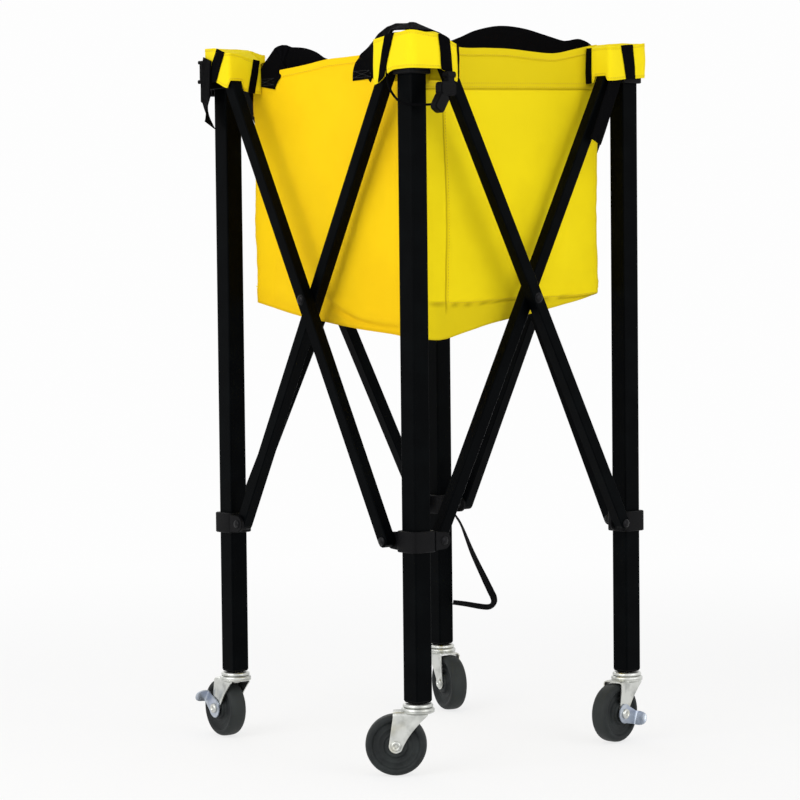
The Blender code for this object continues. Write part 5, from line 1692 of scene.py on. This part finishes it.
wide, deep, tall = buckle_size
parts = []
for z, high in ((-tall * 0.40, tall * 0.20), (-tall * 0.05, tall * 0.13), (tall * 0.24, tall * 0.12),
                (tall * 0.44, tall * 0.12)):
    parts.append(rounded_box((wide * 0.86, deep, high), high * 0.42, buckle_middle + Vector((0, 0, z))))
for side in (-1, 1):
    rail = Vector((0, side * deep * 0.42, 0))
    parts.append(rounded_box((wide, deep * 0.16, tall), wide * 0.35, buckle_middle + rail, 0.0008))
buckle = joined("left_ladder_buckle", parts, NYLON)
dress(buckle, "left_leg", "moulded", "left_buckle")
threaded = []
for k in range(17):
    t = k / 16
    side = 0.38 * math.sin(t * math.pi * 2.5)
    threaded.append((buckle_middle + Vector((side * wide, 0, tall * (0.45 - 0.9 * t))), Vector((0, 1, 0))))
buckled = strap_object("left_buckle_strap", threaded, deep * 0.62, BUCKLED_THICK, BINDING, Matrix())
dress(buckled, "left_leg", "webbing")
print("ladder buckle", [round(v, 4) for v in buckle_size])

# %% Strap tail and slider
tail_along, tail_out = Vector((0.95, -0.31, 0)).normalized(), Vector((-0.31, -0.95, 0)).normalized()
sleeve_corner = Vector((-SLEEVE_INNER_OUT, -SLEEVE_INNER_OUT, 0))
tail_stations = []
for s, out, z, lean in ((0.0225, 0.0032, 0.8860, 0.0), (0.0205, 0.0040, 0.8760, 0.0),
                        (0.0195, 0.0046, 0.8620, 0.0), (0.0185, 0.0046, 0.8480, 0.0),
                        (0.0180, 0.0044, 0.8360, 0.0), (0.0200, 0.0040, 0.8240, 0.2),
                        (0.0260, 0.0036, 0.8110, 0.5), (0.0300, 0.0034, 0.8010, 0.8)):
    tail_stations.append((sleeve_corner + Vector((0, 0, z)) + tail_along * s + tail_out * out,
                          tail_along + tail_out * lean))
tail = strap_object("left_strap_tail", smooth_stations(tail_stations, 4), TAIL_WIDTH, LOOSE_THICK, BINDING,
                    corner_frame("left"))
dress(tail, "left_leg", "webbing")
SLIDER_TURN = math.radians(38.0)
SLIDER_BLOCKS = (((-0.0222, -0.0218, 0.8720), (0.0094, 0.0060, 0.0270)),
                 ((-0.0218, -0.0214, 0.8440), (0.0086, 0.0060, 0.0260)),
                 ((-0.0218, -0.0246, 0.8580), (0.0112, 0.0040, 0.0050)),
                 ((-0.0218, -0.0246, 0.8830), (0.0100, 0.0040, 0.0045)))
slider_parts = []
for at, size in SLIDER_BLOCKS:
    block = rounded_box(size, min(size[0], size[2]) * 0.30, Vector((0, 0, 0)), 0.0010)
    turn = Matrix.Rotation(SLIDER_TURN, 4, "Z")
    slider_parts.append(moved(block, corner_frame("left") @ Matrix.Translation(Vector(at)) @ turn))
slider = joined("left_strap_slider", slider_parts, NYLON)
dress(slider, "left_leg", "moulded")
print("slider of", len(SLIDER_BLOCKS), "blocks")

# %% Loose strap end
top = Vector((-SLEEVE_INNER_OUT + 0.0026, SLEEVE_END - 0.0145, 0.8568))
stations = []
for k in range(15):
    t = k / 14
    sway = 0.0008 * math.sin(t * 5.0)
    at = top + Vector((sway - 0.0030 * ease(t, 0.0, 0.25), 0.0415 * t, -0.0850 * t))
    stations.append((at, Vector((0, 1, -0.07 * t))))
loose = strap_object("right_loose_strap", stations, NARROW_WIDTH, LOOSE_THICK, BINDING, corner_frame("right"))
dress(loose, "right_leg", "webbing", "right_strap_end")
print("loose strap end done")

# %% Tie strap
TIE_HEADING = math.radians(48.0)
tie_away = Vector((math.cos(TIE_HEADING), math.sin(TIE_HEADING), 0))
tie_across = Vector((0, 0, 1)).cross(tie_away)
face = LEG_SIDE / 2 * math.sqrt(2) + CLEARANCE
tie_route = [(face + 0.0022, 0.2710), (face + 0.0050, 0.2660), (face + 0.0125, 0.2530), (0.0455, 0.2150),
             (0.0625, 0.1780), (0.0705, 0.1610), (0.0742, 0.1530), (0.0750, 0.1465), (0.0722, 0.1415),
             (0.0660, 0.1390), (0.0540, 0.1402), (face + 0.0170, 0.1436), (face - 0.0006, 0.1460)]
tie_face = [0.0, 0.0, 0.05, 0.28, 0.46, 0.52, 0.55, 0.45, 0.20, 0.05, 0.0, 0.0, 0.0]
tie_turn = [0.06, 0.06, 0.06, 0.05, 0.03, 0.0, -0.10, -0.30, -0.48, -0.55, -0.55, -0.50, -0.45]
tie_stations = smooth_stations([(tie_away * out + Vector((0, 0, z)),
                                 (tie_across + tie_away * side + Vector((0, 0, turn))).normalized())
                                for (out, z), side, turn in zip(tie_route, tie_face, tie_turn)], 5)
tie = strap_object("back_tie_loop", tie_stations, NARROW_WIDTH, TIE_THICK, TIE_WEBBING,
                   Matrix.Translation(leg_axis["back"]))
dress(tie, "back_collar", "webbing", "back_tie_strap")
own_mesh(tie)
print("tie strap with", len(tie_stations), "stations")

# %% [markdown]
# ## Draw cord and toggle
#
# A thin cord hangs from the front sleeve's strap, passes in front of the leg and ends in a
# spring toggle: a moulded body with a slanting barrel and a sprung button. The cord is a tube swept
# along a smooth path, with flat coordinates of its own for the weave. A bevelled curve would do for
# its shape, but would leave the weave no direction.

# %% Cord
CORD_RADIUS, CORD_SIDES = 0.0015, 12
toggle_low, toggle_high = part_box("front_cord_toggle")
toggle_middle = (toggle_low + toggle_high) / 2
front_place = corner_frame("front")
toggle_spot = front_place.inverted() @ toggle_middle
foot = toggle_low.z - 0.0003
left_x = -0.0223
tx, ty = toggle_spot.x, toggle_spot.y
cord_route = [(left_x + 0.001, 0.020, 0.8572), (left_x, 0.0195, 0.845), (left_x, 0.014, 0.830),
              (left_x, 0.001, 0.817), (left_x + 0.001, -0.015, 0.811), (-0.016, -0.0245, 0.810),
              (-0.004, -0.033, 0.810), (0.010, ty, 0.812), (tx - 0.006, ty, 0.8155),
              (tx - 0.001, ty, foot - 0.005), (tx, ty, foot)]
cord_line = [p for p, _ in smooth_stations([(p, (0, 0, 1)) for p in cord_route], 3)]
cord_points = [front_place @ p for p in cord_line]
rings, turned_side = [], None
for i, at in enumerate(cord_points):
    way = (cord_points[min(i + 1, len(cord_points) - 1)] - cord_points[max(i - 1, 0)]).normalized()
    side = way.orthogonal() if turned_side is None else turned_side - way * turned_side.dot(way)
    turned_side = side.normalized()
    other = way.cross(turned_side)
    rings.append([at + (turned_side * math.cos(a) + other * math.sin(a)) * CORD_RADIUS
                  for a in (2 * math.pi * k / CORD_SIDES for k in range(CORD_SIDES))])
cord = joined("front_hanging_cord", [ribbon(rings)], BINDING, 80)
uv = cord.data.uv_layers.new(name="cloth")
for loop in cord.data.loops:
    ring, k = divmod(loop.vertex_index, CORD_SIDES)
    uv.data[loop.index].uv = (0.0006 * k, 0.004 * ring)
dress(cord, "front_leg", "webbing", "front_draw_cord")
print("cord with", len(rings), "rings")

# %% Toggle
TOGGLE_X, TOGGLE_Z, BARREL_TURN = 0.0190, 0.8290, math.radians(32.0)
toggle_place = front_place @ Matrix.Translation(Vector((TOGGLE_X, ty, TOGGLE_Z)))
slant = Matrix.Translation(Vector((-0.0100, 0, -0.0165))) @ Matrix.Rotation(BARREL_TURN, 4, "Y")
body = rounded_box((0.0250, 0.0125, 0.0170), 0.0050, Vector((0, 0, 0)), 0.0016)
barrel = moved(rounded_box((0.0165, 0.0115, 0.0240), 0.0055, Vector((0, 0, 0)), 0.0016), slant)
neck = rounded_box((0.0110, 0.0080, 0.0090), 0.0020, Vector((0.0055, 0, 0.0110)), 0.0008)
button = rounded_box((0.0150, 0.0105, 0.0075), 0.0030, Vector((0.0055, 0, 0.0170)), 0.0012)
grips = [rounded_box((0.0180, 0.0009, 0.0011), 0.0005, Vector((0, -0.0063, 0.0040 - 0.0028 * k)), 0.0002)
         for k in range(4)]
toggle_parts = [moved(shell, toggle_place) for shell in (body, barrel, neck, button, *grips)]
toggle = joined("front_spring_toggle", toggle_parts, NYLON)
dress(toggle, "front_leg", "moulded", "front_cord_toggle")
length = sum((b - a).length for a, b in zip(cord_points, cord_points[1:]))
print("cord", round(length, 4), "m")

# %% [markdown]
# ## Floor and light
#
# The cart stands on a pale floor under soft studio light. A big lamp above and to the left gives the
# walls their brightness, a weaker one from the right keeps the other wall from going grey, a third
# lights the back, and the white surroundings fill the rest. The floor is white cloth that turns into
# the white background about two metres out, so no horizon shows, and it still takes a soft shadow.

# %% Floor
floor_paint = Finish("studio_floor", (0.90, 0.90, 0.90), 0.85, Specular_IOR_Level=0.1)
BACKGROUND = (0.985, 0.985, 0.985, 1)
floor_glow = floor_paint.node("ShaderNodeEmission", None, {"Color": BACKGROUND, "Strength": 1.0})
floor_out = floor_paint.node("ShaderNodeVectorMath", {"operation": "LENGTH"},
                             {0: floor_paint.place()}, "Value")
floor_seen = floor_paint.node("ShaderNodeLightPath", output="Is Camera Ray")
for kind in ("Is Glossy Ray", "Is Transmission Ray"):
    floor_seen = floor_seen.work("MAXIMUM", floor_seen, floor_paint.node("ShaderNodeLightPath", output=kind))
floor_share = floor_seen * (floor_out.ramp(0.7, 2.2) * 0.25 + 0.75)
floor_mix = floor_paint.node("ShaderNodeMixShader", None, {0: floor_share})
floor_paint.tree.links.new(floor_paint.shader.outputs[0], floor_mix.socket.node.inputs[1])
floor_paint.tree.links.new(floor_glow.socket, floor_mix.socket.node.inputs[2])
surface = next(n for n in floor_paint.tree.nodes if n.type == "OUTPUT_MATERIAL")
floor_paint.tree.links.new(floor_mix.socket, surface.inputs[0])
floor_work = bmesh.new()
bmesh.ops.create_circle(floor_work, cap_ends=True, segments=96, radius=9.0)
floor_mesh = bpy.data.meshes.new("studio_floor")
floor_work.to_mesh(floor_mesh)
floor_work.free()
floor_mesh.materials.append(floor_paint.material)
floor = bpy.data.objects.new("studio_floor", floor_mesh)
floor.location = (CENTRE.x, CENTRE.y, -0.0005)
bpy.context.scene.collection.objects.link(floor)
print("floor radius 9 m")


# %% Light
def soft_lamp(name, azimuth, height, distance, size, watts):
    """A square lamp that faces the cart."""
    data = bpy.data.lights.new(name, "AREA")
    data.shape, data.size, data.energy = "SQUARE", size, watts
    lamp = bpy.data.objects.new(name, data)
    side = math.radians(azimuth)
    spot = CENTRE + Vector((math.cos(side) * distance, math.sin(side) * distance, height))
    aim = (CENTRE + Vector((0, 0, 0.5)) - spot).normalized()
    lamp.rotation_mode = "QUATERNION"
    lamp.rotation_quaternion = aim.to_track_quat("-Z", "Y")
    lamp.location = spot
    bpy.context.scene.collection.objects.link(lamp)


soft_lamp("key", -84, 1.5, 2.8, 2.2, 40)
soft_lamp("fill", 6, 1.2, 3.0, 2.2, 27)
soft_lamp("rear", 160, 2.4, 3.0, 2.0, 14)

world = bpy.data.worlds.new("studio")
bpy.context.scene.world = world
world.use_nodes = True
sky = world.node_tree
sky.nodes.clear()
path = sky.nodes.new("ShaderNodeLightPath")
seen = path.outputs["Is Camera Ray"]
for kind in ("Is Glossy Ray", "Is Transmission Ray"):
    either = sky.nodes.new("ShaderNodeMath")
    either.operation = "MAXIMUM"
    sky.links.new(seen, either.inputs[0])
    sky.links.new(path.outputs[kind], either.inputs[1])
    seen = either.outputs[0]
lit, white = sky.nodes.new("ShaderNodeBackground"), sky.nodes.new("ShaderNodeBackground")
lit.inputs[0].default_value, lit.inputs[1].default_value = (1, 1, 1, 1), 0.70
white.inputs[0].default_value, white.inputs[1].default_value = BACKGROUND, 1.0
pick = sky.nodes.new("ShaderNodeMixShader")
sky.links.new(seen, pick.inputs[0])
sky.links.new(lit.outputs[0], pick.inputs[1])
sky.links.new(white.outputs[0], pick.inputs[2])
whole = sky.nodes.new("ShaderNodeOutputWorld")
sky.links.new(pick.outputs[0], whole.inputs[0])
bpy.context.scene.view_settings.view_transform = "Standard"
print("three lamps and a white world")

# %% [markdown]
# ## The end
